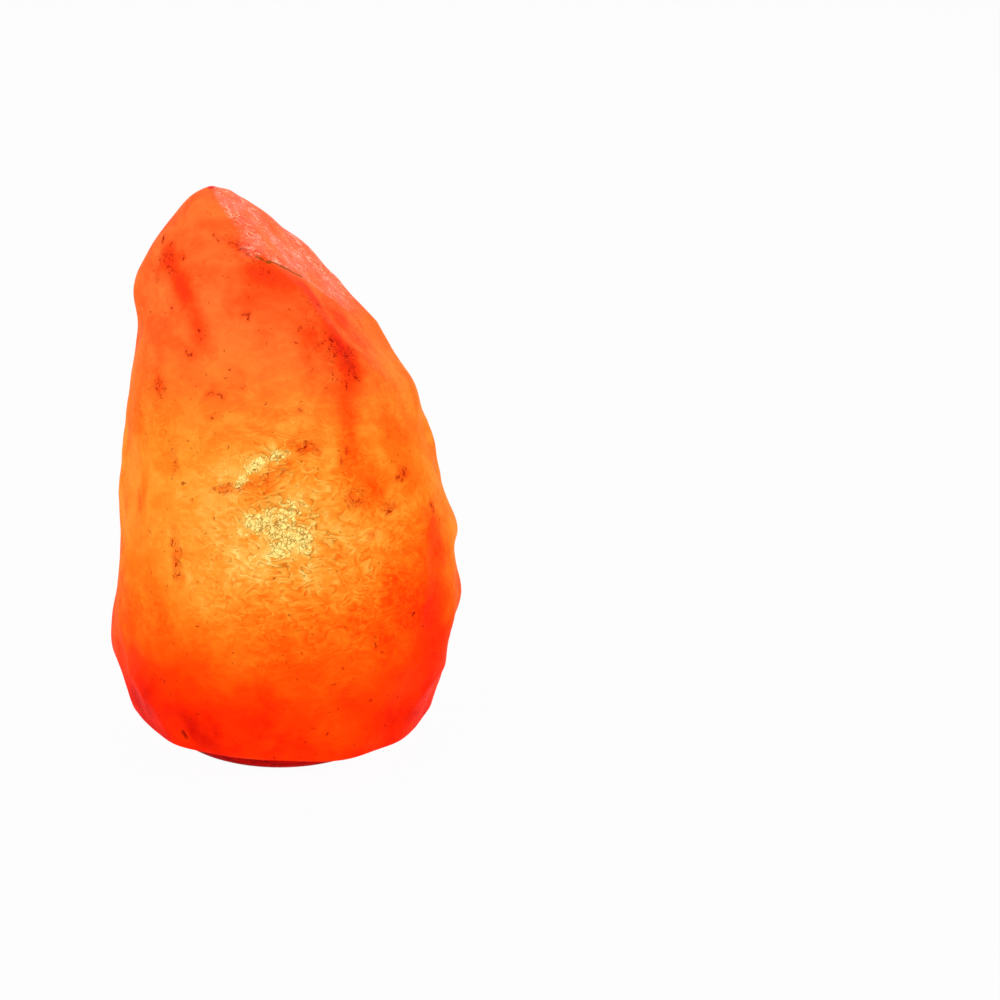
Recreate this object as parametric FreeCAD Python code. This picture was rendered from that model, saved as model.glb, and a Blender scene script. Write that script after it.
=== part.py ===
"""Salt crystal lamp: a hollowed salt rock on a turned wooden base.

Millimetres, +Z up. The origin is on the surface that the lamp stands on, at the axis of the
round base, and the front of the lamp faces -Y. A small lampholder with sprung clips goes up
through the hole in the base and holds its bulb inside the rock. Each piece of the lamp is
written to its own file, parts/<name>.step.
"""

import FreeCAD
import Part
import math
import os

os.makedirs("parts", exist_ok=True)

V = FreeCAD.Vector
UP = V(0, 0, 1)
BACK = V(0, 1, 0)
SIDE = V(1, 0, 0)

# ---------------------------------------------------------------- fits and clearances
RUNNING_GAP = 0.3  # between pieces that move past each other
PUSH_GAP = 0.1  # round a piece that is pushed into its seat by hand
CUT_OVERRUN = 1.0  # how far a cutting solid runs past the face that it opens
EDGE_MATCH = 0.01  # how near an edge lies to the place asked for

# ---------------------------------------------------------------- wooden base
CAVITY_RADIUS = 24.0  # of the hole through the base, and of the one drilled in the rock above it
BASE_RING_WIDTH = 22.0  # of the wood from that hole to the rim
BASE_RADIUS = CAVITY_RADIUS + BASE_RING_WIDTH
BASE_THICKNESS = 13.0
BASE_TOP_ROUND = 2.0
BASE_BOTTOM_ROUND = 2.0

# ---------------------------------------------------------------- rubber ring underneath
PAD_THICKNESS = 1.5
PAD_EDGE_ROUND = 0.5
PAD_SETBACK = 5.0  # of the ring from the base's rim and from its hole
PAD_OUTER_RADIUS = BASE_RADIUS - PAD_SETBACK
PAD_INNER_RADIUS = CAVITY_RADIUS + PAD_SETBACK
PAD_SCREW_CLEARANCE = 0.6  # round the head of each base screw
BASE_BOTTOM = PAD_THICKNESS
BASE_TOP = BASE_BOTTOM + BASE_THICKNESS

# ---------------------------------------------------------------- salt rock
ROCK_HEIGHT = 211.5
# Sections of the rock: the share of its height above the sawn underside, then how far the
# skin reaches from the axis of the base to the left, right, front and back.
ROCK_SECTIONS = (
    (0.000, -60.0, 62.5, -64.0, 59.0),
    (0.035, -63.0, 65.0, -66.0, 61.0),
    (0.097, -66.5, 68.5, -67.0, 63.0),
    (0.191, -67.5, 72.0, -67.0, 64.0),
    (0.286, -65.5, 71.5, -66.0, 64.0),
    (0.381, -63.5, 68.5, -63.0, 63.0),
    (0.475, -62.0, 63.5, -59.0, 61.0),
    (0.570, -60.5, 57.0, -54.0, 59.0),
    (0.664, -58.0, 48.5, -47.0, 56.0),
    (0.759, -55.5, 36.0, -38.0, 52.0),
    (0.830, -54.0, 24.5, -30.0, 47.0),
    (0.891, -49.5, 11.5, -22.0, 41.0),
    (0.938, -42.0, -4.0, -14.0, 34.0),
    (0.976, -35.5, -14.0, -8.0, 26.0),
    (0.993, -30.5, -22.0, 0.0, 14.0),
    (1.000, -27.6, -25.0, 5.0, 8.5),
)
ROCK_LOFT_SECTIONS = 32  # spaced evenly along the skin, from the underside to the peak
ROCK_POINTS_PER_SECTION = 44
ROCK_SQUARENESS = 2.15  # 2 is an ellipse, more is squarer
# Cleaved faces: the outward direction, a point that the face passes through, with its height
# as a share of the rock's, and how softly its edge rounds over. The first is the long flat that
# falls from the peak to the right.
ROCK_FACETS = (
    ((0.72, -0.10, 0.69), (13.7, 42.0, 0.853), 0.8),
    ((-0.62, -0.62, 0.48), (-51.0, -31.0, 0.777), 5.0),
    ((0.72, -0.66, 0.22), (56.0, -46.0, 0.468), 3.0),
    ((-0.40, 0.76, 0.51), (-30.0, 50.0, 0.722), 1.5),
)
# Lumps and hollows of the skin: a place on it with its height as a share, size and height.
ROCK_LUMPS = (
    ((71.0, -2.0, 0.338), 8.0, 1.2),
    ((72.0, -2.0, 0.305), 5.0, -2.8),
    ((72.0, -4.0, 0.220), 9.0, 2.2),
    ((71.0, -4.0, 0.125), 7.0, -2.4),
    ((-56.0, 0.0, 0.811), 8.0, 0.8),
    ((-57.0, -5.0, 0.745), 7.0, -1.0),
    ((-66.0, -6.0, 0.111), 8.0, 0.9),
    ((-66.0, -6.0, 0.050), 5.0, -0.8),
    ((-62.0, -2.0, 0.437), 14.0, -0.9),
    ((68.0, 0.0, 0.433), 12.0, -1.0),
    ((0.0, -55.0, 0.527), 8.0, -1.1),
    ((-8.0, -54.0, 0.560), 7.0, 1.0),
    ((24.0, -50.0, 0.560), 10.0, 1.2),
    ((10.0, -44.0, 0.664), 12.0, -1.2),
    ((-20.0, -45.0, 0.641), 13.0, 1.0),
    ((-30.0, -30.0, 0.773), 12.0, -0.9),
    ((38.0, -40.0, 0.570), 9.0, -1.0),
    ((30.0, -60.0, 0.333), 14.0, 1.1),
    ((-25.0, -60.0, 0.357), 14.0, -1.0),
    ((-45.0, -48.0, 0.262), 12.0, 1.2),
    ((50.0, -48.0, 0.215), 12.0, -1.0),
    ((-10.0, -66.0, 0.168), 14.0, 1.0),
    ((20.0, -66.0, 0.097), 12.0, -0.8),
    ((10.0, -15.0, 0.830), 8.0, 0.9),
    ((0.0, 60.0, 0.499), 16.0, 1.4),
    ((-30.0, 52.0, 0.357), 14.0, -1.3),
    ((30.0, 52.0, 0.641), 14.0, 1.2),
    ((35.0, 54.0, 0.262), 14.0, -1.2),
    ((-20.0, 58.0, 0.168), 14.0, 1.2),
    ((-50.0, 30.0, 0.593), 14.0, -1.2),
    ((-60.0, 20.0, 0.310), 14.0, 1.2),
    ((58.0, 30.0, 0.452), 14.0, -1.2),
    ((64.0, 24.0, 0.215), 14.0, 1.2),
    ((-35.0, 40.0, 0.783), 12.0, 1.0),
    ((5.0, 50.0, 0.783), 12.0, -1.0),
    ((60.0, 0.0, 0.575), 5.0, -1.2),
    ((62.0, 0.0, 0.518), 7.0, 1.2),
    ((-58.0, 0.0, 0.620), 12.0, 1.8),
    ((-63.0, 0.0, 0.380), 9.0, 1.2),
    ((68.0, -4.0, 0.095), 8.0, -1.6),
    ((-56.0, -30.0, 0.030), 14.0, -1.5),
    ((58.0, -25.0, 0.030), 12.0, -1.5),
    ((45.0, -48.0, 0.000), 10.0, 2.0),
    ((3.4, 30.0, 0.895), 7.0, -2.4),
    ((-14.0, 20.0, 0.970), 7.0, -2.4),
    ((69.0, -22.0, 0.150), 8.0, -1.3),
    ((71.0, -9.0, 0.325), 6.0, -0.9),
    ((-49.0, 0.0, 0.900), 9.0, 1.5),
    ((22.0, -61.0, 0.000), 18.0, 3.4),
    ((-24.0, -61.0, 0.000), 12.0, -0.6),
    ((-40.0, -49.0, 0.000), 9.0, 1.4),
    ((-67.0, 0.0, 0.270), 14.0, -0.8),
)
# Long waves of the skin: the way each runs, its length and its height.
ROCK_WAVES = (
    ((0.8, 0.2, 0.6), 47.0, 0.35),
    ((-0.5, 0.7, 0.5), 39.0, 0.35),
    ((0.3, -0.8, 0.5), 34.0, 0.3),
    ((0.7, 0.6, -0.4), 30.0, 0.3),
    ((0.1, 0.3, 0.9), 28.0, 0.25),
)

CAVITY_STRAIGHT_HEIGHT = 103.0  # from the rock's underside to the start of the domed end
CAVITY_DOME_HEIGHT = 12.0

# ---------------------------------------------------------------- base screws and wall plugs
FIXING_CIRCLE_RADIUS = (PAD_INNER_RADIUS + PAD_OUTER_RADIUS) / 2
FIXING_ANGLES = (0.0, 180.0, 270.0)
PLUG_RADIUS = 4.0
PLUG_LENGTH = 25.0
PLUG_RECESS = 0.5  # below the rock's underside
PLUG_END_WALL = 2.0
SCREW_RADIUS = 2.2
SCREW_HEAD_RADIUS = 4.2
SCREW_HEAD_HEIGHT = 2.4
SCREW_RECESS = 0.4  # head below the underside of the base
SCREW_LENGTH = 32.0
SCREW_POINT_LENGTH = 3.0
CROSS_WIDTH = 1.0
CROSS_LENGTH = 4.4
CROSS_DEPTH = 1.5

# ---------------------------------------------------------------- cord inlet at the back
GROMMET_BORE_RADIUS = 3.0
GROMMET_WALL = 0.9
GROMMET_LENGTH = 12.0
GROMMET_FLANGE_RADIUS = 5.0
GROMMET_FLANGE_THICKNESS = 1.5
GROMMET_FLANGE_SEAT = BASE_RADIUS - GROMMET_FLANGE_THICKNESS  # distance from the axis
GROMMET_HEIGHT_IN_BASE = 7.0

# ---------------------------------------------------------------- lampholder
NIPPLE_RADIUS = 5.0
NIPPLE_BORE_RADIUS = 3.8
NIPPLE_LENGTH = 12.0
NIPPLE_BOTTOM = 18.0
NUT_ACROSS_FLATS = 14.0
LOWER_NUT_THICKNESS = 3.5
UPPER_NUT_THICKNESS = 3.0
CLIP_PLATE_RADIUS = 12.0
CLIP_PLATE_THICKNESS = 1.0
CAP_BOTTOM = 22.5
CAP_RADIUS = 14.5
CAP_WALL = 1.6
CAP_FLOOR = 3.0
CAP_HEIGHT = 13.5
CAP_RIB_COUNT = 24
CAP_RIB_RADIUS = 0.45
SKIRT_DEPTH = 3.0  # of the holder's body inside the rim of the cap
CORE_RADIUS = 11.3
CORE_THICKNESS = 6.0
CORE_BOTTOM_ABOVE_CAP = 1.0
SHOULDER_HEIGHT = 9.0  # from the cap's rim to where the body narrows
SHOULDER_SLOPE = 3.0
NECK_RADIUS = 10.5
NECK_LIP = 1.5
NECK_GAP = 0.5  # between the top of the screw shell and the lip

# ---------------------------------------------------------------- screw thread of the bulb
THREAD_PITCH = 2.822
THREAD_DEPTH = 0.65
THREAD_ROOT_WIDTH = 1.3
THREAD_CREST_WIDTH = 0.7
RIDGE_OVERLAP = 0.15  # how far a ridge is rooted in the wall that carries it
BULB_CAP_RADIUS = 6.2
BULB_CAP_WALL = 0.4
SHELL_WALL = 0.5
SHELL_LENGTH = 17.0
SHELL_THREAD_TURNS = 4.5
BULB_THREAD_TURNS = 4.0

# ---------------------------------------------------------------- electrical pieces
TERMINAL_WIDTH = 6.0
TERMINAL_DEPTH = 6.0
TERMINAL_HEIGHT = 5.5
TERMINAL_GAP_BELOW_CORE = 0.5
TERMINAL_OFFSET = 6.5
TERMINAL_WIRE_RADIUS = 1.1
TERMINAL_SCREW_RADIUS = 1.2
TERMINAL_SCREW_HEAD_RADIUS = 2.0
TERMINAL_SCREW_HEAD_HEIGHT = 1.0
TERMINAL_SLOT_WIDTH = 0.6
LIVE_POST_RADIUS = 1.3
LIVE_POST_OFFSET = 4.6
NEUTRAL_POST_RADIUS = 0.6
CONTACT_WIDTH = 4.0
CONTACT_THICKNESS = 0.4
CONTACT_RISE = 2.5
CONTACT_TIP_OFFSET = 1.5
CONTACT_TIP_LENGTH = 2.2
CONTACT_END_DROP = 0.8

# ---------------------------------------------------------------- sprung clips
CLIP_WIDTH = 7.0
CLIP_THICKNESS = 0.8
CLIP_TAB_SETOUT = 0.6  # of the plate's tabs past the cap
CLIP_BEND_HEIGHT = 12.0
CLIP_TIP_HEIGHT = 21.0
CLIP_TIP_RADIUS = 19.5

# ---------------------------------------------------------------- bulb
BULB_TIP_RADIUS = 2.6
BULB_TIP_HEIGHT = 1.0
INSULATOR_HEIGHT = 2.8
BULB_CAP_HEIGHT = 16.0
GLASS_RADIUS = 13.0
GLASS_THICKNESS = 0.7
GLASS_NECK_LAP = 5.0  # of the neck inside the cap
GLASS_CENTRE_ABOVE_CAP = 22.0
STEM_RADIUS = 2.0
STEM_HEIGHT = 12.0
STEM_FLARE_HEIGHT = 3.0
WIRE_RADIUS = 0.3
WIRE_SPACING = 1.6
FILAMENT_SPAN = 12.0
FILAMENT_COIL_RADIUS = 0.7
FILAMENT_WIRE_RADIUS = 0.12
FILAMENT_TURNS = 16

# ---------------------------------------------------------------- heights worked out
CAVITY_TOP = BASE_TOP + CAVITY_STRAIGHT_HEIGHT
CAP_RIM = CAP_BOTTOM + CAP_HEIGHT
CORE_BOTTOM = CAP_RIM + CORE_BOTTOM_ABOVE_CAP
CORE_TOP = CORE_BOTTOM + CORE_THICKNESS
SHELL_BORE_RADIUS = BULB_CAP_RADIUS + THREAD_DEPTH + RUNNING_GAP
SHELL_OUTER_RADIUS = SHELL_BORE_RADIUS + SHELL_WALL
SHELL_TOP = CORE_TOP + SHELL_LENGTH
CONTACT_TOP = CORE_TOP + CONTACT_RISE
BULB_TIP_BOTTOM = CONTACT_TOP + CONTACT_THICKNESS + RUNNING_GAP
INSULATOR_BOTTOM = BULB_TIP_BOTTOM + BULB_TIP_HEIGHT
BULB_CAP_BOTTOM = INSULATOR_BOTTOM + INSULATOR_HEIGHT
BULB_CAP_TOP = BULB_CAP_BOTTOM + BULB_CAP_HEIGHT
GLASS_BOTTOM = BULB_CAP_TOP - GLASS_NECK_LAP
GLASS_CENTRE = BULB_CAP_TOP + GLASS_CENTRE_ABOVE_CAP
NIPPLE_TOP = NIPPLE_BOTTOM + NIPPLE_LENGTH


# ---------------------------------------------------------------- helpers
def write(name, shapes):
    """Write one piece, or a group of like pieces, to its own file."""
    solids = shapes if isinstance(shapes, list) else [shapes]
    shape = solids[0] if len(solids) == 1 else Part.makeCompound(solids)
    if not shape.isValid():
        print("not valid:", name)
    shape.exportStep("parts/" + name + ".step")


def joined(shapes):
    """One solid from pieces that meet, with the seams between them removed."""
    return shapes[0].fuse(shapes[1:]).removeSplitter()


def turned(points):
    """A solid of revolution about Z from a closed outline of (radius, height) points."""
    outline = Part.makePolygon([V(r, 0, z) for r, z in points] + [V(points[0][0], 0, points[0][1])])
    return Part.Face(outline).revolve(V(0, 0, 0), UP, 360)


def tube(outer, inner, bottom, height):
    """An upright tube about Z."""
    wall = Part.makeCylinder(outer, height, V(0, 0, bottom))
    bore = Part.makeCylinder(inner, height + 2 * CUT_OVERRUN, V(0, 0, bottom - CUT_OVERRUN))
    return wall.cut(bore)


def round_edges(shape, radius, wanted):
    """Round the edges that the function wanted picks out."""
    return shape.makeFillet(radius, [edge for edge in shape.Edges if wanted(edge)])


def edges_at(height, radius):
    """Picks the circular edges at one height and one radius."""

    def wanted(edge):
        curve = edge.Curve
        if not isinstance(curve, Part.Circle):
            return False
        level = abs(curve.Center.z - height) < EDGE_MATCH
        return level and abs(curve.Radius - radius) < EDGE_MATCH

    return wanted


def on_circle(radius, angle, height):
    """The point at an angle in degrees on a circle about Z."""
    turn = math.radians(angle)
    return V(radius * math.cos(turn), radius * math.sin(turn), height)


def thread_ridge(wall_radius, inward, bottom, turns):
    """The helical ridge of a rolled thread, rooted in a wall and pointing in or out."""
    side = -1 if inward else 1
    root = wall_radius - side * RIDGE_OVERLAP
    crest = wall_radius + side * THREAD_DEPTH
    path = Part.makeHelix(THREAD_PITCH, THREAD_PITCH * turns, wall_radius)
    half_root = THREAD_ROOT_WIDTH / 2
    half_crest = THREAD_CREST_WIDTH / 2
    corners = [
        V(root, 0, -half_root),
        V(crest, 0, -half_crest),
        V(crest, 0, half_crest),
        V(root, 0, half_root),
        V(root, 0, -half_root),
    ]
    ridge = path.makePipeShell([Part.makePolygon(corners)], True, True)
    ridge.translate(V(0, 0, bottom))
    return ridge


def bent_strip(points, thickness, width):
    """A strip bent in the XZ plane along points, centred on y = 0."""
    left = []
    right = []
    last = len(points) - 1
    for index, (x, z) in enumerate(points):
        before = points[max(index - 1, 0)]
        after = points[min(index + 1, last)]
        normals = []
        for start, end in ((before, (x, z)), ((x, z), after)):
            length = math.hypot(end[0] - start[0], end[1] - start[1])
            if length > 0:
                normals.append((-(end[1] - start[1]) / length, (end[0] - start[0]) / length))
        nx = sum(n[0] for n in normals) / len(normals)
        nz = sum(n[1] for n in normals) / len(normals)
        scale = thickness / 2 / (nx * nx + nz * nz)
        left.append(V(x + nx * scale, -width / 2, z + nz * scale))
        right.append(V(x - nx * scale, -width / 2, z - nz * scale))
    corners = left + right[::-1]
    return Part.Face(Part.makePolygon(corners + corners[:1])).extrude(V(0, width, 0))


# ---------------------------------------------------------------- rock, base and fixings
def rock_height(share):
    return BASE_TOP + share * ROCK_HEIGHT


def rock_rows():
    """Each section as its height, the middle of its oval in X and Y, and half of its size."""
    rows = []
    for share, left, right, front, back in ROCK_SECTIONS:
        middle = ((left + right) / 2, (front + back) / 2)
        rows.append((rock_height(share), *middle, (right - left) / 2, (back - front) / 2))
    return rows


def slope(rows, knots, index):
    """How fast the numbers of a row change with the knots, from the rows on both sides."""
    low = max(index - 1, 0)
    high = min(index + 1, len(rows) - 1)
    if high - low == 1:
        return [(b - a) / (knots[high] - knots[low]) for a, b in zip(rows[low], rows[high])]
    before = knots[index] - knots[low]
    after = knots[high] - knots[index]
    rates = []
    for a, b, c in zip(rows[low], rows[index], rows[high]):
        rates.append(((b - a) / before * after + (c - b) / after * before) / (before + after))
    return rates


def row_at(rows, knots, place):
    """The row at a place between the knots, on the cubic that meets both rows and slopes."""
    index = 0
    while index < len(knots) - 2 and place > knots[index + 1]:
        index += 1
    step = knots[index + 1] - knots[index]
    u = (place - knots[index]) / step
    starts = slope(rows, knots, index)
    ends = slope(rows, knots, index + 1)
    found = []
    for a, b, start, end in zip(rows[index], rows[index + 1], starts, ends):
        value = (2 * u**3 - 3 * u**2 + 1) * a + (3 * u**2 - 2 * u**3) * b
        found.append(value + (u**3 - 2 * u**2 + u) * step * start + (u**3 - u**2) * step * end)
    return found


def rock_point(row, turn):
    """A point of the skin: on the row's squarish oval, pressed in by the cleaved faces, level,
    and raised by the lumps and the long waves."""
    height, middle_x, middle_y, half_width, half_depth = row
    middle = V(middle_x, middle_y, height)
    across = math.cos(turn)
    along = math.sin(turn)
    power = abs(across) ** ROCK_SQUARENESS + abs(along) ** ROCK_SQUARENESS
    reach = power ** (-1 / ROCK_SQUARENESS)
    point = middle + V(half_width * reach * across, half_depth * reach * along, 0)
    for direction, (x, y, share), soft in ROCK_FACETS:
        outward = V(*direction).normalize()
        proud = (point - V(x, y, rock_height(share))).dot(outward)
        pressed = soft * math.log1p(math.exp(proud / soft))
        level = V(outward.x, outward.y, 0)
        point = point - level * (pressed / level.Length**2)
    outward = (point - middle).normalize()
    raised = 0.0
    for (x, y, share), size, lump_height in ROCK_LUMPS:
        away = (point - V(x, y, rock_height(share))).Length
        raised += lump_height * math.exp(-((away / size) ** 2))
    for direction, length, wave_height in ROCK_WAVES:
        raised += wave_height * math.sin(2 * math.pi * point.dot(V(*direction).normalize()) / length)
    return point + outward * raised


def rock_skin():
    """The rock's skin as a solid, lofted through level outlines."""
    rows = rock_rows()
    knots = [0.0]
    for row, after in zip(rows, rows[1:]):
        knots.append(knots[-1] + math.dist(row, after))
    outlines = []
    for index in range(ROCK_LOFT_SECTIONS):
        row = row_at(rows, knots, knots[-1] * index / (ROCK_LOFT_SECTIONS - 1))
        turns = [2 * math.pi * n / ROCK_POINTS_PER_SECTION for n in range(ROCK_POINTS_PER_SECTION)]
        curve = Part.BSplineCurve()
        curve.interpolate(Points=[rock_point(row, turn) for turn in turns], PeriodicFlag=True)
        outlines.append(Part.Wire(curve.toShape()))
    return Part.makeLoft(outlines, True, False)


def cavity():
    """The hole drilled up into the rock, with a low domed end."""
    floor = BASE_TOP - CUT_OVERRUN
    side = Part.makeLine(V(CAVITY_RADIUS, 0, floor), V(CAVITY_RADIUS, 0, CAVITY_TOP))
    crown = CAVITY_TOP + CAVITY_DOME_HEIGHT
    dome_radius = (CAVITY_RADIUS**2 + CAVITY_DOME_HEIGHT**2) / (2 * CAVITY_DOME_HEIGHT)
    half_angle = math.asin(CAVITY_RADIUS / dome_radius) / 2
    middle = V(
        dome_radius * math.sin(half_angle), 0, crown - dome_radius * (1 - math.cos(half_angle))
    )
    dome = Part.Arc(V(CAVITY_RADIUS, 0, CAVITY_TOP), middle, V(0, 0, crown)).toShape()
    axis = Part.makeLine(V(0, 0, crown), V(0, 0, floor))
    bottom = Part.makeLine(V(0, 0, floor), V(CAVITY_RADIUS, 0, floor))
    outline = Part.Wire([side, dome, axis, bottom])
    return Part.Face(outline).revolve(V(0, 0, 0), UP, 360)


def salt_crystal():
    """The rock: its skin, the drilled cavity and three plug holes."""
    rock = rock_skin().cut(cavity())
    depth = PLUG_RECESS + PLUG_LENGTH
    for angle in FIXING_ANGLES:
        place = on_circle(FIXING_CIRCLE_RADIUS, angle, BASE_TOP - CUT_OVERRUN)
        rock = rock.cut(Part.makeCylinder(PLUG_RADIUS, depth + CUT_OVERRUN, place))
    return rock


def wall_plugs():
    """Three blind plugs in the rock that take the base screws."""
    plug = Part.makeCylinder(PLUG_RADIUS, PLUG_LENGTH, V(0, 0, BASE_TOP + PLUG_RECESS))
    bore_length = PLUG_LENGTH - PLUG_END_WALL
    plug = plug.cut(Part.makeCylinder(SCREW_RADIUS, bore_length, V(0, 0, BASE_TOP + PLUG_RECESS)))
    return [plug.translated(on_circle(FIXING_CIRCLE_RADIUS, a, 0)) for a in FIXING_ANGLES]


def base_screws():
    """Three countersunk cross-recessed screws from below, through the base into the plugs."""
    bottom = BASE_BOTTOM + SCREW_RECESS
    shank_end = bottom + SCREW_LENGTH - SCREW_POINT_LENGTH
    screw = turned(
        [
            (0, bottom),
            (SCREW_HEAD_RADIUS, bottom),
            (SCREW_RADIUS, bottom + SCREW_HEAD_HEIGHT),
            (SCREW_RADIUS, shank_end),
            (0, shank_end + SCREW_POINT_LENGTH),
        ]
    )
    for length, width in ((CROSS_LENGTH, CROSS_WIDTH), (CROSS_WIDTH, CROSS_LENGTH)):
        slot = Part.makeBox(length, width, CROSS_DEPTH + CUT_OVERRUN)
        slot.translate(V(-length / 2, -width / 2, bottom - CUT_OVERRUN))
        screw = screw.cut(slot)
    return [screw.translated(on_circle(FIXING_CIRCLE_RADIUS, a, 0)) for a in FIXING_ANGLES]


def wooden_base():
    """The turned ring: rounded rim, lampholder hole, countersunk holes and the cord hole."""
    base = tube(BASE_RADIUS, CAVITY_RADIUS, BASE_BOTTOM, BASE_THICKNESS)
    base = round_edges(base, BASE_TOP_ROUND, edges_at(BASE_TOP, BASE_RADIUS))
    base = round_edges(base, BASE_BOTTOM_ROUND, edges_at(BASE_BOTTOM, BASE_RADIUS))
    head = BASE_BOTTOM + SCREW_RECESS
    for angle in FIXING_ANGLES:
        hole = turned(
            [
                (0, BASE_BOTTOM - CUT_OVERRUN),
                (SCREW_HEAD_RADIUS, BASE_BOTTOM - CUT_OVERRUN),
                (SCREW_HEAD_RADIUS, head),
                (SCREW_RADIUS, head + SCREW_HEAD_HEIGHT),
                (SCREW_RADIUS, BASE_TOP + CUT_OVERRUN),
                (0, BASE_TOP + CUT_OVERRUN),
            ]
        )
        base = base.cut(hole.translated(on_circle(FIXING_CIRCLE_RADIUS, angle, 0)))
    height = BASE_BOTTOM + GROMMET_HEIGHT_IN_BASE
    hole_radius = GROMMET_BORE_RADIUS + GROMMET_WALL
    cord_hole = Part.makeCylinder(hole_radius, BASE_RADIUS, V(0, 0, height), BACK)
    seat = Part.makeCylinder(
        GROMMET_FLANGE_RADIUS + PUSH_GAP, BASE_RADIUS, V(0, GROMMET_FLANGE_SEAT, height), BACK
    )
    return base.cut(cord_hole).cut(seat)


def cord_grommet():
    """The flanged grommet that lines the cord hole at the back of the base."""
    height = BASE_BOTTOM + GROMMET_HEIGHT_IN_BASE
    inner_end = GROMMET_FLANGE_SEAT - GROMMET_LENGTH
    barrel = Part.makeCylinder(
        GROMMET_BORE_RADIUS + GROMMET_WALL, GROMMET_LENGTH, V(0, inner_end, height), BACK
    )
    flange = Part.makeCylinder(
        GROMMET_FLANGE_RADIUS, GROMMET_FLANGE_THICKNESS, V(0, GROMMET_FLANGE_SEAT, height), BACK
    )
    bore = Part.makeCylinder(GROMMET_BORE_RADIUS, BASE_RADIUS, V(0, inner_end - CUT_OVERRUN, height), BACK)
    return joined([barrel, flange]).cut(bore)


def rubber_pad():
    """The non-slip ring that the lamp stands on, with a hole round each screw."""
    pad = tube(PAD_OUTER_RADIUS, PAD_INNER_RADIUS, 0, PAD_THICKNESS)
    pad = round_edges(pad, PAD_EDGE_ROUND, edges_at(0, PAD_OUTER_RADIUS))
    hole_height = PAD_THICKNESS + 2 * CUT_OVERRUN
    for angle in FIXING_ANGLES:
        place = on_circle(FIXING_CIRCLE_RADIUS, angle, -CUT_OVERRUN)
        hole = Part.makeCylinder(SCREW_HEAD_RADIUS + PAD_SCREW_CLEARANCE, hole_height, place)
        pad = pad.cut(hole)
    return pad


# ---------------------------------------------------------------- lampholder
def hex_nut(bottom, thickness):
    """A hexagonal nut on the threaded tube."""
    corner = NUT_ACROSS_FLATS / math.sqrt(3)
    points = [on_circle(corner, 60 * index, bottom) for index in range(7)]
    nut = Part.Face(Part.makePolygon(points)).extrude(V(0, 0, thickness))
    bore = Part.makeCylinder(NIPPLE_RADIUS, thickness + 2 * CUT_OVERRUN, V(0, 0, bottom - CUT_OVERRUN))
    return nut.cut(bore)


def nipple_nuts():
    """Two nuts that clamp the clip plate and the cap between them."""
    plate_bottom = CAP_BOTTOM - CLIP_PLATE_THICKNESS
    lower = hex_nut(plate_bottom - LOWER_NUT_THICKNESS, LOWER_NUT_THICKNESS)
    upper = hex_nut(CAP_BOTTOM + CAP_FLOOR, UPPER_NUT_THICKNESS)
    return [lower, upper]


def holder_cap():
    """The cup that closes the bottom of the lampholder, ribbed for grip."""
    cup = Part.makeCylinder(CAP_RADIUS, CAP_HEIGHT, V(0, 0, CAP_BOTTOM))
    for index in range(CAP_RIB_COUNT):
        place = on_circle(CAP_RADIUS, 360 * index / CAP_RIB_COUNT, CAP_BOTTOM - CUT_OVERRUN)
        cup = cup.cut(Part.makeCylinder(CAP_RIB_RADIUS, CAP_HEIGHT + 2 * CUT_OVERRUN, place))
    room = Part.makeCylinder(
        CAP_RADIUS - CAP_WALL, CAP_HEIGHT, V(0, 0, CAP_BOTTOM + CAP_FLOOR)
    )
    bore = Part.makeCylinder(NIPPLE_RADIUS, CAP_HEIGHT, V(0, 0, CAP_BOTTOM - CUT_OVERRUN))
    return cup.cut(room).cut(bore)


def holder_body():
    """The upper half: a skirt inside the cap's rim, a shoulder, and the neck with its lip."""
    skirt_radius = CAP_RADIUS - CAP_WALL - PUSH_GAP
    skirt_bottom = CAP_RIM - SKIRT_DEPTH
    shoulder_top = CAP_RIM + SHOULDER_HEIGHT
    neck_bottom = shoulder_top + SHOULDER_SLOPE
    neck_top = SHELL_TOP + NECK_GAP + NECK_LIP
    neck_bore = SHELL_OUTER_RADIUS + PUSH_GAP
    lip_bore = SHELL_BORE_RADIUS
    return turned(
        [
            (CORE_RADIUS, skirt_bottom),
            (skirt_radius, skirt_bottom),
            (skirt_radius, CAP_RIM),
            (CAP_RADIUS, CAP_RIM),
            (CAP_RADIUS, shoulder_top),
            (NECK_RADIUS, neck_bottom),
            (NECK_RADIUS, neck_top),
            (lip_bore, neck_top),
            (lip_bore, neck_top - NECK_LIP),
            (neck_bore, neck_top - NECK_LIP),
            (neck_bore, CORE_TOP),
            (CORE_RADIUS, CORE_TOP),
        ]
    )


def holder_core():
    """The insulating disc that carries the contacts, pressed up against the body's step."""
    core = Part.makeCylinder(CORE_RADIUS, CORE_THICKNESS, V(0, 0, CORE_BOTTOM))
    through = CORE_THICKNESS + 2 * CUT_OVERRUN
    floor = CORE_BOTTOM - CUT_OVERRUN
    live_place = V(-LIVE_POST_OFFSET, 0, floor)
    live_hole = Part.makeCylinder(LIVE_POST_RADIUS + PUSH_GAP, through, live_place)
    neutral_place = V(neutral_post_offset(), 0, floor)
    neutral_hole = Part.makeCylinder(NEUTRAL_POST_RADIUS + PUSH_GAP, through, neutral_place)
    return core.cut(live_hole).cut(neutral_hole)


def neutral_post_offset():
    """The neutral post comes up under the wall of the screw shell."""
    return SHELL_OUTER_RADIUS - NEUTRAL_POST_RADIUS


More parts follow.
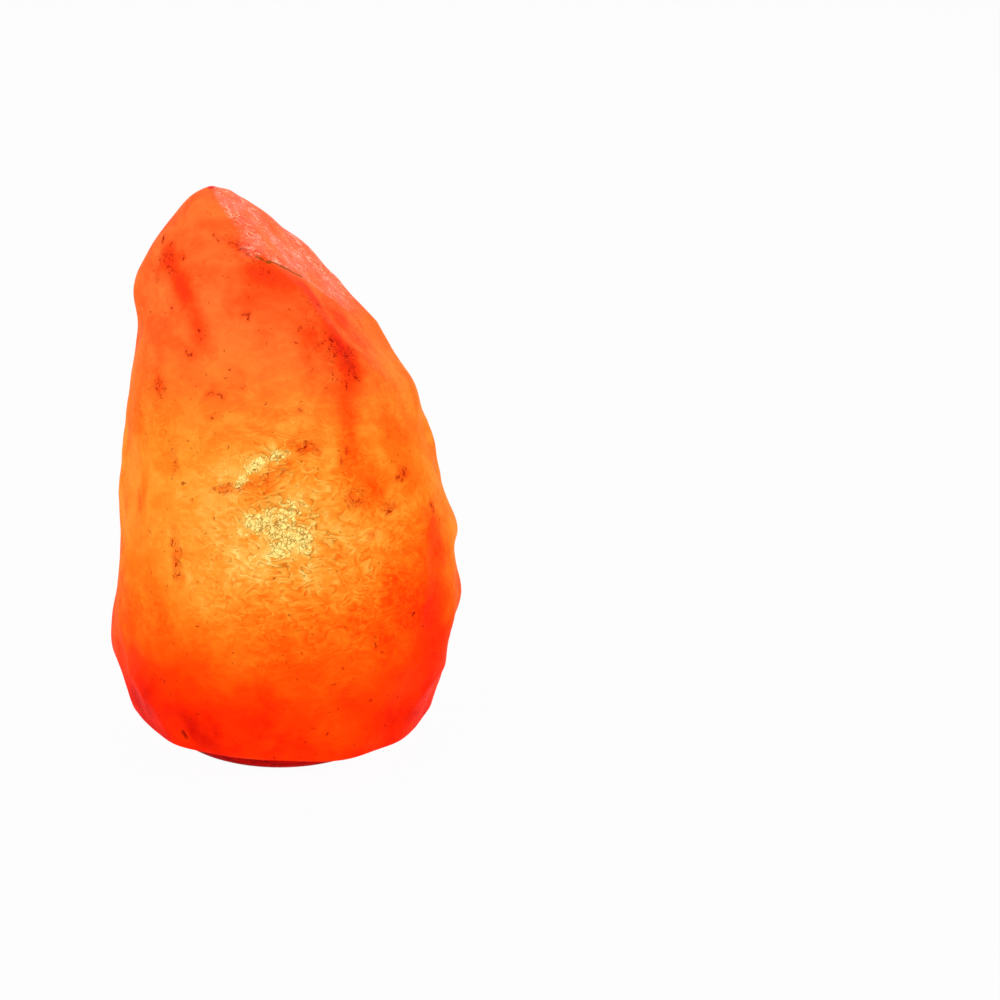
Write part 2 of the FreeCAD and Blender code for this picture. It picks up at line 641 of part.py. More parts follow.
def screw_shell():
    """The threaded sleeve that takes the bulb's cap."""
    sleeve = tube(SHELL_OUTER_RADIUS, SHELL_BORE_RADIUS, CORE_TOP, SHELL_LENGTH)
    thread_length = THREAD_PITCH * SHELL_THREAD_TURNS
    bottom = SHELL_TOP - THREAD_PITCH - thread_length
    return joined([sleeve, thread_ridge(SHELL_BORE_RADIUS, True, bottom, SHELL_THREAD_TURNS)])


def terminal(side, post_offset, post_radius, post_top):
    """A brass terminal block with its post, wire hole and tapped screw hole."""
    block_top = CORE_BOTTOM - TERMINAL_GAP_BELOW_CORE
    bottom = block_top - TERMINAL_HEIGHT
    block = Part.makeBox(TERMINAL_DEPTH, TERMINAL_WIDTH, TERMINAL_HEIGHT)
    block.translate(V(side * TERMINAL_OFFSET - TERMINAL_DEPTH / 2, -TERMINAL_WIDTH / 2, bottom))
    post_start = block_top - CUT_OVERRUN
    post = Part.makeCylinder(post_radius, post_top - post_start, V(side * post_offset, 0, post_start))
    middle = bottom + TERMINAL_HEIGHT / 2
    wire_start = bottom - CUT_OVERRUN
    wire_hole = Part.makeCylinder(
        TERMINAL_WIRE_RADIUS, TERMINAL_HEIGHT / 2 + CUT_OVERRUN, V(side * TERMINAL_OFFSET, 0, wire_start)
    )
    face = V(side * (TERMINAL_OFFSET + TERMINAL_DEPTH / 2), 0, middle)
    screw_hole = Part.makeCylinder(TERMINAL_SCREW_RADIUS, TERMINAL_DEPTH / 2, face, SIDE * -side)
    return joined([block, post]).cut(wire_hole).cut(screw_hole)


def terminal_screws():
    """The slotted screw on the outer face of each terminal."""
    middle = CORE_BOTTOM - TERMINAL_GAP_BELOW_CORE - TERMINAL_HEIGHT / 2
    screws = []
    for side in (-1, 1):
        face = V(side * (TERMINAL_OFFSET + TERMINAL_DEPTH / 2), 0, middle)
        outward = SIDE * side
        shank_end = face - outward * (TERMINAL_DEPTH / 2)
        shank = Part.makeCylinder(TERMINAL_SCREW_RADIUS, TERMINAL_DEPTH / 2, shank_end, outward)
        head = Part.makeCylinder(TERMINAL_SCREW_HEAD_RADIUS, TERMINAL_SCREW_HEAD_HEIGHT, face, outward)
        slot = Part.makeBox(
            TERMINAL_SCREW_HEAD_HEIGHT, 2 * TERMINAL_SCREW_HEAD_RADIUS, TERMINAL_SLOT_WIDTH
        )
        head_top = face + outward * TERMINAL_SCREW_HEAD_HEIGHT
        half_size = V(TERMINAL_SCREW_HEAD_HEIGHT, 2 * TERMINAL_SCREW_HEAD_RADIUS, TERMINAL_SLOT_WIDTH) / 2
        slot.translate(head_top - half_size)
        screws.append(joined([shank, head]).cut(slot))
    return screws


def centre_contact():
    """The brass tongue that rises from the live post to press on the bulb's tip."""
    foot_height = CORE_TOP + PUSH_GAP + CONTACT_THICKNESS / 2
    top = CONTACT_TOP + CONTACT_THICKNESS / 2
    points = [
        (-LIVE_POST_OFFSET - LIVE_POST_RADIUS, foot_height),
        (-LIVE_POST_OFFSET + LIVE_POST_RADIUS, foot_height),
        (-CONTACT_TIP_OFFSET, top),
        (-CONTACT_TIP_OFFSET + CONTACT_TIP_LENGTH, top),
        (CONTACT_TIP_OFFSET + CONTACT_TIP_LENGTH / 2, top - CONTACT_END_DROP),
    ]
    return bent_strip(points, CONTACT_THICKNESS, CONTACT_WIDTH)


def clip_plate():
    """The plate clamped under the cap, with a tab on each side for a sprung leaf."""
    bottom = CAP_BOTTOM - CLIP_PLATE_THICKNESS
    reach = CAP_RADIUS + CLIP_TAB_SETOUT
    disc = Part.makeCylinder(CLIP_PLATE_RADIUS, CLIP_PLATE_THICKNESS, V(0, 0, bottom))
    tabs = Part.makeBox(2 * reach, CLIP_WIDTH, CLIP_PLATE_THICKNESS)
    tabs.translate(V(-reach, -CLIP_WIDTH / 2, bottom))
    bore = Part.makeCylinder(NIPPLE_RADIUS, CAP_BOTTOM, V(0, 0, 0))
    return joined([disc, tabs]).cut(bore)


def clip_arm(side):
    """One sprung leaf: from its tab out to the bend that grips the cavity, and back in."""
    root = CAP_RADIUS + CLIP_TAB_SETOUT + RUNNING_GAP + CLIP_THICKNESS / 2
    level = CAP_BOTTOM - CLIP_PLATE_THICKNESS / 2
    bend = CAVITY_RADIUS - RUNNING_GAP - CLIP_THICKNESS
    points = [
        (root, level),
        (bend, level + CLIP_BEND_HEIGHT),
        (CLIP_TIP_RADIUS, level + CLIP_TIP_HEIGHT),
    ]
    return bent_strip([(side * x, z) for x, z in points], CLIP_THICKNESS, CLIP_WIDTH)


# ---------------------------------------------------------------- bulb
def bulb_cap():
    """The threaded metal cap."""
    sleeve = tube(BULB_CAP_RADIUS, BULB_CAP_RADIUS - BULB_CAP_WALL, BULB_CAP_BOTTOM, BULB_CAP_HEIGHT)
    thread_length = THREAD_PITCH * SHELL_THREAD_TURNS
    shell_start = SHELL_TOP - THREAD_PITCH - thread_length
    turns_below = math.floor((shell_start - BULB_CAP_BOTTOM) / THREAD_PITCH - 0.5)
    bottom = shell_start - THREAD_PITCH * (turns_below + 0.5)
    return joined([sleeve, thread_ridge(BULB_CAP_RADIUS, False, bottom, BULB_THREAD_TURNS)])


def bulb_insulator():
    """The black glass button that closes the cap round the centre contact."""
    return turned(
        [
            (0, INSULATOR_BOTTOM),
            (BULB_TIP_RADIUS, INSULATOR_BOTTOM),
            (BULB_CAP_RADIUS - BULB_CAP_WALL, BULB_CAP_BOTTOM),
            (BULB_CAP_RADIUS - BULB_CAP_WALL, BULB_CAP_BOTTOM + BULB_TIP_HEIGHT),
            (0, BULB_CAP_BOTTOM + BULB_TIP_HEIGHT),
        ]
    )


def bulb_tip():
    """The rounded blob of solder at the bottom of the bulb."""
    tip = Part.makeCylinder(BULB_TIP_RADIUS, BULB_TIP_HEIGHT, V(0, 0, BULB_TIP_BOTTOM))
    return round_edges(tip, BULB_TIP_HEIGHT / 2, edges_at(BULB_TIP_BOTTOM, BULB_TIP_RADIUS))


def glass_outline(inset):
    """The wires of half a bulb's outline, drawn the given distance inside its outer face."""
    neck = BULB_CAP_RADIUS - BULB_CAP_WALL - PUSH_GAP - inset
    belly = GLASS_RADIUS - inset
    flare_bottom = V(neck, 0, BULB_CAP_TOP)
    flare_top = V(belly, 0, GLASS_CENTRE)
    rise = GLASS_CENTRE - BULB_CAP_TOP
    flare = Part.BezierCurve()
    flare.setPoles(
        [flare_bottom, V(neck, 0, BULB_CAP_TOP + rise / 2), V(belly, 0, GLASS_CENTRE - rise / 2), flare_top]
    )
    half = math.pi / 4
    crown = V(belly * math.cos(half), 0, GLASS_CENTRE + belly * math.sin(half))
    dome = Part.Arc(flare_top, crown, V(0, 0, GLASS_CENTRE + belly))
    side = Part.makeLine(V(neck, 0, GLASS_BOTTOM), flare_bottom)
    return [side, flare.toShape(), dome.toShape()]


def bulb_glass():
    """The pear-shaped envelope, its neck seated in the cap."""
    solids = []
    for inset in (0, GLASS_THICKNESS):
        wires = glass_outline(inset)
        start = wires[0].Vertexes[0].Point
        end = wires[-1].Vertexes[-1].Point
        axis = Part.makeLine(end, V(0, 0, start.z))
        floor = Part.makeLine(V(0, 0, start.z), start)
        face = Part.Face(Part.Wire(wires + [axis, floor]))
        solids.append(face.revolve(V(0, 0, 0), UP, 360))
    return solids[0].cut(solids[1])


def bulb_stem():
    """The glass stem that seals the neck and carries the lead wires."""
    seal = BULB_CAP_RADIUS - BULB_CAP_WALL - PUSH_GAP - GLASS_THICKNESS
    stem = turned(
        [
            (0, GLASS_BOTTOM),
            (seal, GLASS_BOTTOM),
            (STEM_RADIUS, GLASS_BOTTOM + STEM_FLARE_HEIGHT),
            (STEM_RADIUS, GLASS_BOTTOM + STEM_HEIGHT),
            (0, GLASS_BOTTOM + STEM_HEIGHT),
        ]
    )
    for side in (-1, 1):
        start = V(side * WIRE_SPACING / 2, 0, GLASS_BOTTOM - CUT_OVERRUN)
        stem = stem.cut(Part.makeCylinder(WIRE_RADIUS, STEM_HEIGHT + 2 * CUT_OVERRUN, start))
    return stem


def lead_wires():
    """Two wires from the stem out to the ends of the filament."""
    wires = []
    for side in (-1, 1):
        foot = V(side * WIRE_SPACING / 2, 0, GLASS_BOTTOM)
        knee = V(side * WIRE_SPACING / 2, 0, GLASS_BOTTOM + STEM_HEIGHT)
        end = V(side * FILAMENT_SPAN / 2, 0, GLASS_CENTRE)
        lower = Part.makeCylinder(WIRE_RADIUS, STEM_HEIGHT, foot)
        upper = Part.makeCylinder(WIRE_RADIUS, (end - knee).Length, knee, end - knee)
        wires.append(joined([lower, Part.makeSphere(WIRE_RADIUS, knee), upper]))
    return wires


def filament():
    """The coiled filament between the lead wires."""
    span = FILAMENT_SPAN - 4 * WIRE_RADIUS
    path = Part.makeHelix(span / FILAMENT_TURNS, span, FILAMENT_COIL_RADIUS)
    section = Part.Wire(Part.makeCircle(FILAMENT_WIRE_RADIUS, V(FILAMENT_COIL_RADIUS, 0, 0), BACK))
    coil = path.makePipeShell([section], True, True)
    coil.rotate(V(0, 0, 0), BACK, 90)
    coil.translate(V(-span / 2, 0, GLASS_CENTRE))
    return coil


# ---------------------------------------------------------------- every piece of the lamp
write("salt_crystal", salt_crystal())
write("wall_plugs", wall_plugs())
write("base_screws", base_screws())
write("wooden_base", wooden_base())
write("cord_grommet", cord_grommet())
write("rubber_pad", rubber_pad())
write("cord_nipple", tube(NIPPLE_RADIUS, NIPPLE_BORE_RADIUS, NIPPLE_BOTTOM, NIPPLE_LENGTH))
write("nipple_nuts", nipple_nuts())
write("clip_plate", clip_plate())
write("clip_left", clip_arm(-1))
write("clip_right", clip_arm(1))
write("holder_cap", holder_cap())
write("holder_body", holder_body())
write("holder_core", holder_core())
write("screw_shell", screw_shell())
write("live_terminal", terminal(-1, LIVE_POST_OFFSET, LIVE_POST_RADIUS, CORE_TOP))
write("neutral_terminal", terminal(1, neutral_post_offset(), NEUTRAL_POST_RADIUS, CORE_TOP))
write("terminal_screws", terminal_screws())
write("centre_contact", centre_contact())
write("bulb_tip", bulb_tip())
write("bulb_insulator", bulb_insulator())
write("bulb_cap", bulb_cap())
write("bulb_glass", bulb_glass())
write("bulb_stem", bulb_stem())
write("lead_wires", lead_wires())
write("filament", filament())
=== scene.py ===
"""Salt crystal lamp: the rock's skin, glow and finish, and the pieces that carry and light it.

Sizes are in millimetres, and become metres where a mesh or a pattern is made. Heights are above
the surface that the lamp stands on, and the front of the lamp faces -Y.
"""

import bpy
import math
import numpy as np
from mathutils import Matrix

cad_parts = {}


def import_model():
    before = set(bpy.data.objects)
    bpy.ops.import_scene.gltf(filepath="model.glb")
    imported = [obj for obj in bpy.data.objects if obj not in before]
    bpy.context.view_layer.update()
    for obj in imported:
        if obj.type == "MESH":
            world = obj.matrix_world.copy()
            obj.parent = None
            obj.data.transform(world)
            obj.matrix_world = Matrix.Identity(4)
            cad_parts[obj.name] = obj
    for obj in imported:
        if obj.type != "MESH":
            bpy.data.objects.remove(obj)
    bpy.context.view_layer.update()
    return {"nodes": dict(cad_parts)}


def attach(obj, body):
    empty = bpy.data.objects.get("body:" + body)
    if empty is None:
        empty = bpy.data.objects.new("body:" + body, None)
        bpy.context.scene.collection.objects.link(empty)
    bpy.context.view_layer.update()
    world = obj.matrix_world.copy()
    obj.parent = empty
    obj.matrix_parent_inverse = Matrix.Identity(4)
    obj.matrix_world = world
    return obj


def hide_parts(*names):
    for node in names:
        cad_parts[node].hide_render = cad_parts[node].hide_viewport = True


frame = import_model()

MM = 0.001

# -------- the rock's sizes
ROCK_BOTTOM = 14.5
ROCK_HEIGHT = 211.5
# Share of the height, then how far the skin reaches to the left, right, front and back.
ROCK_SECTIONS = (
    (0.000, -60.0, 62.5, -64.0, 59.0),
    (0.035, -63.0, 65.0, -66.0, 61.0),
    (0.097, -66.5, 68.5, -67.0, 63.0),
    (0.191, -67.5, 72.0, -67.0, 64.0),
    (0.286, -65.5, 71.5, -66.0, 64.0),
    (0.381, -63.5, 68.5, -63.0, 63.0),
    (0.475, -62.0, 63.5, -59.0, 61.0),
    (0.570, -60.5, 57.0, -54.0, 59.0),
    (0.664, -58.0, 48.5, -47.0, 56.0),
    (0.759, -55.5, 36.0, -38.0, 52.0),
    (0.830, -54.0, 24.5, -30.0, 47.0),
    (0.891, -49.5, 11.5, -22.0, 41.0),
    (0.938, -42.0, -4.0, -14.0, 34.0),
    (0.976, -35.5, -14.0, -8.0, 26.0),
    (0.993, -30.5, -22.0, 0.0, 14.0),
    (1.000, -27.6, -25.0, 5.0, 8.5),
)
ROCK_SQUARENESS = 2.15
# Outward direction, a point on the face (its height as a share), and how soft its edge is.
ROCK_FACETS = (
    ((0.72, -0.10, 0.69), (13.7, 42.0, 0.853), 0.8),
    ((-0.62, -0.62, 0.48), (-51.0, -31.0, 0.777), 5.0),
    ((0.72, -0.66, 0.22), (56.0, -46.0, 0.468), 3.0),
    ((-0.40, 0.76, 0.51), (-30.0, 50.0, 0.722), 1.5),
)
COLUMNS = 400
SKIN_ROWS = 214
UNDERSIDE_ROWS = 6
WALL_ROWS = 18
DOME_ROWS = 6
CAVITY_RADIUS = 24.0
CAVITY_TOP = 117.5
CAVITY_DOME = 12.0

# Lumps and hollows of the skin: a place on it with its height as a share, size and height.
ROCK_LUMPS = (
    ((71.0, -2.0, 0.338), 8.0, 1.2),
    ((72.0, -2.0, 0.305), 5.0, -2.8),
    ((72.0, -4.0, 0.220), 9.0, 2.2),
    ((71.0, -4.0, 0.125), 7.0, -2.4),
    ((-56.0, 0.0, 0.811), 8.0, 0.8),
    ((-57.0, -5.0, 0.745), 7.0, -1.0),
    ((-66.0, -6.0, 0.111), 8.0, 0.9),
    ((-66.0, -6.0, 0.050), 5.0, -0.8),
    ((-62.0, -2.0, 0.437), 14.0, -0.9),
    ((68.0, 0.0, 0.433), 12.0, -1.0),
    ((0.0, -55.0, 0.527), 8.0, -1.1),
    ((-8.0, -54.0, 0.560), 7.0, 1.0),
    ((24.0, -50.0, 0.560), 10.0, 1.2),
    ((10.0, -44.0, 0.664), 12.0, -1.2),
    ((-20.0, -45.0, 0.641), 13.0, 1.0),
    ((-30.0, -30.0, 0.773), 12.0, -0.9),
    ((38.0, -40.0, 0.570), 9.0, -1.0),
    ((30.0, -60.0, 0.333), 14.0, 1.1),
    ((-25.0, -60.0, 0.357), 14.0, -1.0),
    ((-45.0, -48.0, 0.262), 12.0, 1.2),
    ((50.0, -48.0, 0.215), 12.0, -1.0),
    ((-10.0, -66.0, 0.168), 14.0, 1.0),
    ((20.0, -66.0, 0.097), 12.0, -0.8),
    ((10.0, -15.0, 0.830), 8.0, 0.9),
    ((0.0, 60.0, 0.499), 16.0, 1.4),
    ((-30.0, 52.0, 0.357), 14.0, -1.3),
    ((30.0, 52.0, 0.641), 14.0, 1.2),
    ((35.0, 54.0, 0.262), 14.0, -1.2),
    ((-20.0, 58.0, 0.168), 14.0, 1.2),
    ((-50.0, 30.0, 0.593), 14.0, -1.2),
    ((-60.0, 20.0, 0.310), 14.0, 1.2),
    ((58.0, 30.0, 0.452), 14.0, -1.2),
    ((64.0, 24.0, 0.215), 14.0, 1.2),
    ((-35.0, 40.0, 0.783), 12.0, 1.0),
    ((5.0, 50.0, 0.783), 12.0, -1.0),
    ((60.0, 0.0, 0.575), 5.0, -1.2),
    ((62.0, 0.0, 0.518), 7.0, 1.2),
    ((-58.0, 0.0, 0.620), 12.0, 1.8),
    ((-63.0, 0.0, 0.380), 9.0, 1.2),
    ((68.0, -4.0, 0.095), 8.0, -1.6),
    ((-56.0, -30.0, 0.030), 14.0, -1.5),
    ((58.0, -25.0, 0.030), 12.0, -1.5),
    ((45.0, -48.0, 0.000), 10.0, 2.0),
    ((3.4, 30.0, 0.895), 7.0, -2.4),
    ((-14.0, 20.0, 0.970), 7.0, -2.4),
    ((69.0, -22.0, 0.150), 8.0, -1.3),
    ((71.0, -9.0, 0.325), 6.0, -0.9),
    ((-49.0, 0.0, 0.900), 9.0, 1.5),
    ((22.0, -61.0, 0.000), 18.0, 3.4),
    ((-24.0, -61.0, 0.000), 12.0, -0.6),
    ((-40.0, -49.0, 0.000), 9.0, 1.4),
    ((-67.0, 0.0, 0.270), 14.0, -0.8),
)
# Long waves of the skin: the way each runs, its length and its height.
ROCK_WAVES = (
    ((0.8, 0.2, 0.6), 47.0, 0.35),
    ((-0.5, 0.7, 0.5), 39.0, 0.35),
    ((0.3, -0.8, 0.5), 34.0, 0.3),
    ((0.7, 0.6, -0.4), 30.0, 0.3),
    ((0.1, 0.3, 0.9), 28.0, 0.25),
)

# -------- the glow on the skin
# Height, then the warmth of the skin there: 0 is deep red and 1 is yellow-white.
GLOW_BY_HEIGHT = (
    (10, 0.06), (31, 0.15), (49, 0.29), (65, 0.43), (82, 0.53), (100, 0.60),
    (115, 0.61), (131, 0.58), (154, 0.53), (177, 0.47), (204, 0.43), (230, 0.42),
)
# Warm and cool streaks: centre, direction, half length, half width, the change of warmth, and
# how much rust gathers there.
STREAKS = (
    # beneath the scored edge of the long flat, and down the right of the front
    ((-14, -17, 207), (12, -0.5, -3.5), 8, 3.6, -0.13, 1),
    ((-9, -23.5, 200), (10, 0, -4.5), 7, 4, -0.16, 0.4),
    ((-2, -22, 197.5), (10, 0.5, -5), 11, 6, -0.18, 0.15),
    ((8, -16, 193), (8, 3, -6), 8, 5, -0.14, 0.1),
    ((14, -17, 187), (8, 1, -9), 9, 6, -0.20, 0.3),
    ((14.5, -34, 171), (3, -4, -20), 19, 8, -0.17, 0.35),
    ((-3, -26, 187), (1, 0, -0.3), 19, 13, -0.11, 0.1),
    ((21, -25.5, 176), (6, -4.5, -9), 9, 4.5, -0.30, 0.6),
    ((26, -9, 175.5), (6, -14, -9), 16, 11, -0.19, 0.2),
    ((25.5, -31, 166), (3, -4, -6.5), 9, 5.4, -0.42, 0.9),
    ((25, -41, 151), (0.5, -6, -14), 12, 4, -0.17, 0.1),
    ((26, -48, 136), (-1, -5, -10), 11, 4.6, -0.20, 0.2),
    ((36, -47, 120), (4, -1, -13), 10, 6, -0.16, 0.1),
    ((32, -48, 128), (4, -1, -13), 12, 8, -0.08, 0.1),
    ((52, -34, 126), (0.2, 0, -1), 26, 13, -0.11, 0),
    # down the left of the front
    ((-42.9, -8.9, 203), (3, -8, -8), 8, 3.4, -0.20, 0.8),
    ((-36.5, -21, 192.5), (6, -10, -11), 11, 4.6, -0.28, 0.25),
    ((-30.5, -32, 179), (2, -5, -13), 8, 3.6, -0.20, 0.3),
    ((-45, -8, 193), (0.1, -0.3, -1), 9, 2.2, -0.04, 0.5),
    ((-44, -28, 158), (0, -0.3, -1), 7, 2.2, -0.08, 0.4),
    ((-24.4, -43.1, 157.6), (1, 0, -0.2), 4, 2.2, -0.03, 0.7),
    ((-52, -33, 117), (0, 0, -1), 8, 2.8, -0.12, 0.2),
    ((-38.5, -49, 94), (1, -3, -14), 12, 2.2, -0.04, 0.8),
    ((-41, -42, 132), (0, -0.3, -1), 9, 2.2, -0.02, 0.5),
    # the rust under the bright ledge
    ((10.5, -52.5, 139.5), (12, 2, 3), 6, 2.2, -0.12, 1),
    ((0, -55.2, 131.5), (12, 1, 6), 8, 2.6, -0.12, 0.35),
    ((-6.6, -56.5, 125.5), (1, 0, 0.2), 9, 4.4, -0.16, 0.45),
    ((-21, -54, 123.5), (10, -0.5, 2.5), 8, 1.8, -0.05, 0.8),
    ((8, -47, 153), (1, 0, 0.4), 8, 2.4, -0.02, 0.6),
    ((14, -62, 93), (1, 0, 0.3), 9, 6, 0.06, 0),
    ((13, -58, 119), (0.5, 0, 1), 9, 6, 0.05, 0),
    ((-43, -46, 92), (0, 0, 1), 14, 8, 0.09, 0),
    ((0, -65, 75), (1, 0, 0), 14, 9, -0.07, 0),
    ((38, -38, 146), (0, 0, 1), 9, 7, 0.06, 0),
    ((-42, -41, 114), (0, 0, 1), 9, 7, -0.06, 0.1),
    # right of the front
    ((46.6, -38, 124.5), (0.7, 0.2, -1), 4, 2.6, -0.05, 1),
    ((42, -46, 112.5), (1, 0.5, 0), 4, 2.2, -0.04, 0.8),
    ((28, -53.5, 119), (0.6, 0.1, -1), 4, 2.6, -0.04, 0.9),
    ((59.8, -30, 108), (0.5, 0.3, -1), 4, 2, -0.04, 0.7),
    ((40, -35.5, 141), (0.6, 0.2, -1), 8, 2.6, -0.02, 0.4),
    ((26, -58, 100), (-0.6, -0.1, -1), 9, 2.4, -0.02, 0.4),
    ((58, -41.5, 66), (0.1, 0, -1), 28, 13, -0.28, 0),
    ((62, -33, 92), (0, 0.2, -1), 14, 8, -0.22, 0),
    ((48, -52, 84), (0.3, 0.1, -1), 12, 8, -0.12, 0.1),
    ((24, -63, 74), (1, 0.1, 0.5), 18, 5, -0.05, 0.25),
    ((42, -49.5, 98), (0, 0, 1), 9, 6, -0.07, 0.1),
    ((42, -56.5, 66), (0, 0, 1), 12, 9, -0.13, 0),
    ((14, -66, 58), (1, 0, 0), 12, 7, -0.08, 0),
    # the foot
    ((22, -58, 21), (1, 0, 0.1), 34, 13, 0.10, 0),
    ((-52, -42, 28), (0.2, 0, 1), 16, 16, -0.12, 0),
    ((-25, -62, 30), (1, 0, 0.1), 26, 13, -0.08, 0),
    ((14, -67, 40), (1, 0, -0.4), 24, 10, 0.05, 0),
    # the back and the sides
    ((26, 50, 148), (0.4, 0.2, -1), 30, 6, -0.24, 0.6),
    ((12, 58, 128), (1, 0, 0.3), 14, 3, -0.14, 0.8),
    ((-38, 48, 84), (-0.5, 0.1, -1), 24, 5, -0.20, 0.4),
    ((-22, 44, 168), (-0.5, 0.2, -1), 22, 4.5, -0.20, 0.6),
    ((-58, 22, 150), (0.1, 0.3, -1), 26, 5, -0.18, 0.5),
    ((-62, 12, 84), (0.1, 0.5, -1), 18, 4, -0.14, 0.5),
    ((56, 24, 124), (0.4, -0.3, -1), 22, 5, -0.22, 0.5),
    ((50, 40, 70), (0.6, -0.2, -1), 22, 7, -0.20, 0.4),
)
# Scored lines along the edge of the long flat: points on the line, and half its width.
SEAMS = (
    (((-9.3, -17.7, 204.6), (-4.4, -18.1, 202.7)), 0.45),
    (((-4.4, -18.1, 202.7), (2.1, -11.9, 198.6)), 0.85),
    (((2.1, -11.9, 198.6), (8.9, -7, 194)), 0.75),
)
SEAM_HIGHLIGHT_OFFSET = (0.45, 0.6, 1.25)  # from the score to the painted highlight along its upper edge
# The scored edge's run and a point on it.
FLAT_EDGE = (1, 0.7, -0.75)
FLAT_EDGE_PLACE = (2.1, -11.9, 198.6)
# Where light comes through thinnest: centre, direction, half length, half width and share.
HOT_SPOTS = (
    ((0, -61.8, 111), (0.15, 0, -1), 12, 8.5, 1),
    ((-7.5, -59.5, 112.5), (1, 0, 0), 7, 5, 0.95),
    ((9, -61.5, 106), (0.3, 0, -1), 9, 4.6, 0.9),
    ((0.5, -62.4, 101), (1, 0, 0.2), 9, 4, 0.75),
    ((5, -60, 118.5), (0.4, 0, -1), 5, 4, 0.75),
    ((-15, -54.5, 126.5), (3, 0, 3.6), 4.5, 2.2, 0.9),
    ((-9, -54.6, 133.2), (7, 0, 5), 8.5, 3, 1),
    ((-0.5, -54.3, 137.5), (1, 0, 0.3), 5, 2.6, 1),
    ((10, -59.5, 110), (0.2, 0, -1), 22, 13, 0.40),
    ((3, -61, 107), (0.3, 0, -1), 18, 11, 0.62),
    ((-8, -55, 132), (1, 0, 0.5), 16, 9, 0.36),
    ((-4, 62, 106), (0.2, 0, 1), 12, 10, 1),
    ((8, 61, 92), (1, 0, 0.4), 9, 4, 0.7),
    ((-16, 60, 118), (1, 0, 0.6), 9, 3, 0.7),
    ((-64, 6, 104), (0, 0.3, 1), 11, 8, 0.75),
    ((69, 12, 98), (0, -0.3, 1), 12, 8, 0.75),
)
# Rust and soot marks on the front: middle, reach to each end, and radius.
MARKS = (
    ((-44.3, -1.1, 206.8), (0.3, -0.8, -1.8), 0.8),
    ((-41.5, -6.5, 206), (0.2, -0.5, -1.5), 0.55),
    ((-36.5, -13, 203.5), (0.4, -0.4, -0.8), 0.5),
    ((-23.6, -15, 211), (0.6, -0.3, -0.9), 0.45),
    ((-18, -16, 209), (1.2, 0, -0.8), 0.5),
    ((-14.6, -17, 207.2), (0.9, 0, 0.7), 0.6),
    ((-12, -17.5, 205.2), (1.2, 0, -0.5), 0.5),
    ((-12.6, -31.5, 186.4), (1, 0, 0.2), 0.6),
    ((-12, -32, 185), (0.3, -0.1, -1.1), 0.35),
    ((-34.8, -33, 171.8), (0.7, -0.2, -1), 0.45),
    ((-33.2, -34, 170.5), (-0.5, -0.2, -1.1), 0.4),
    ((-30.1, -31.8, 179.8), (0.3, -0.2, -0.7), 0.45),
    ((-40, -20, 184), (0.2, -0.3, -0.9), 0.4),
    ((-26.4, -42.3, 158.2), (1.6, -0.3, 0.6), 0.45),
    ((-22.6, -43.6, 157), (1.5, -0.1, -0.5), 0.45),
    ((17, -16, 186), (0.5, 0, -0.9), 0.5),
    ((28.6, -25.5, 170.6), (1.9, -1.1, -0.9), 0.32),
    ((19.6, -28, 173), (2.4, -0.8, -1.6), 0.36),
    ((23.8, -32, 165.2), (0.9, -0.3, 0.5), 0.5),
    ((27.4, -31.4, 164), (0.5, -0.6, -0.9), 0.5),
    ((29.8, -34, 161), (0.9, -0.5, -0.9), 0.6),
    ((25, -37.5, 158.5), (0.3, -0.2, -0.4), 0.5),
    ((9, -53, 139.4), (1.3, 0.2, 0.6), 0.55),
    ((12.2, -52, 140.4), (0.9, 0.2, -0.7), 0.5),
    ((14.4, -52, 138.4), (0.5, 0.1, -1), 0.35),
    ((24.8, -48.6, 137.2), (0.5, -0.5, 1.9), 0.45),
    ((23.2, -50.2, 133.4), (0.2, -0.4, -1.3), 0.45),
    ((45.4, -39, 123.6), (1.5, 0.6, 1.2), 0.6),
    ((48.4, -36.8, 125.4), (0.6, 0.4, 1.2), 0.4),
    ((27.8, -53.5, 119.2), (1.3, 0.1, -0.7), 0.5),
    ((42.3, -46.2, 112.4), (1.3, 0.5, 0.3), 0.6),
    ((59.8, -30, 108), (0.5, 0.5, -0.9), 0.45),
    ((35, -53, 104.6), (1.4, 0.4, 0.8), 0.3),
    ((51.2, -48.6, 70), (0.8, 0.3, 0.2), 0.5),
    ((-53.5, -30.5, 111), (0.5, -1.2, -3.2), 0.32),
    ((-39.8, -47.2, 98.8), (0.2, -0.2, -1), 0.45),
    ((-38.6, -49, 92.2), (0.3, -0.4, -1.9), 0.32),
    ((-36.8, -50.6, 87.6), (1.2, -0.4, 0.1), 0.32),
    ((-37.1, -54.5, 21.3), (0.7, 0, -0.9), 1.1),
    ((36.8, -59.4, 61.7), (0.3, -0.1, -0.5), 0.5),
)
# Heights over which the skin changes, upwards: creases and rust begin, a painted pale sheen of light
# from above comes onto the glow and the colour, and the long flat is scraped.
CREASED_ABOVE = (30, 72)
RUSTY_ABOVE = (50, 90)
PAINTED_SHEEN_ABOVE = (130, 195)
SCRAPED_ABOVE = (168, 184)
# Fine relief of the skin: height, wavelength and seed of each swell, and of each crease with
# the share of it that smooth salt keeps.
RELIEF_SWELLS = ((0.3, 21, 2), (0.45, 10, 16))
RELIEF_CREASES = ((0.42, 11, 8, 0), (0.26, 5.6, 9, 0), (0.15, 2.9, 10, 0.3))
CREASE_MIDDLE = 0.6
SCOOPS = 210
SCOOP_RADIUS = 12.0
SEAM_DEPTH = 0.6
RIM_FADE = 9.0  # the relief weakens over this height above the rim
RIM_EDGE = 1.5  # and is gone below this one
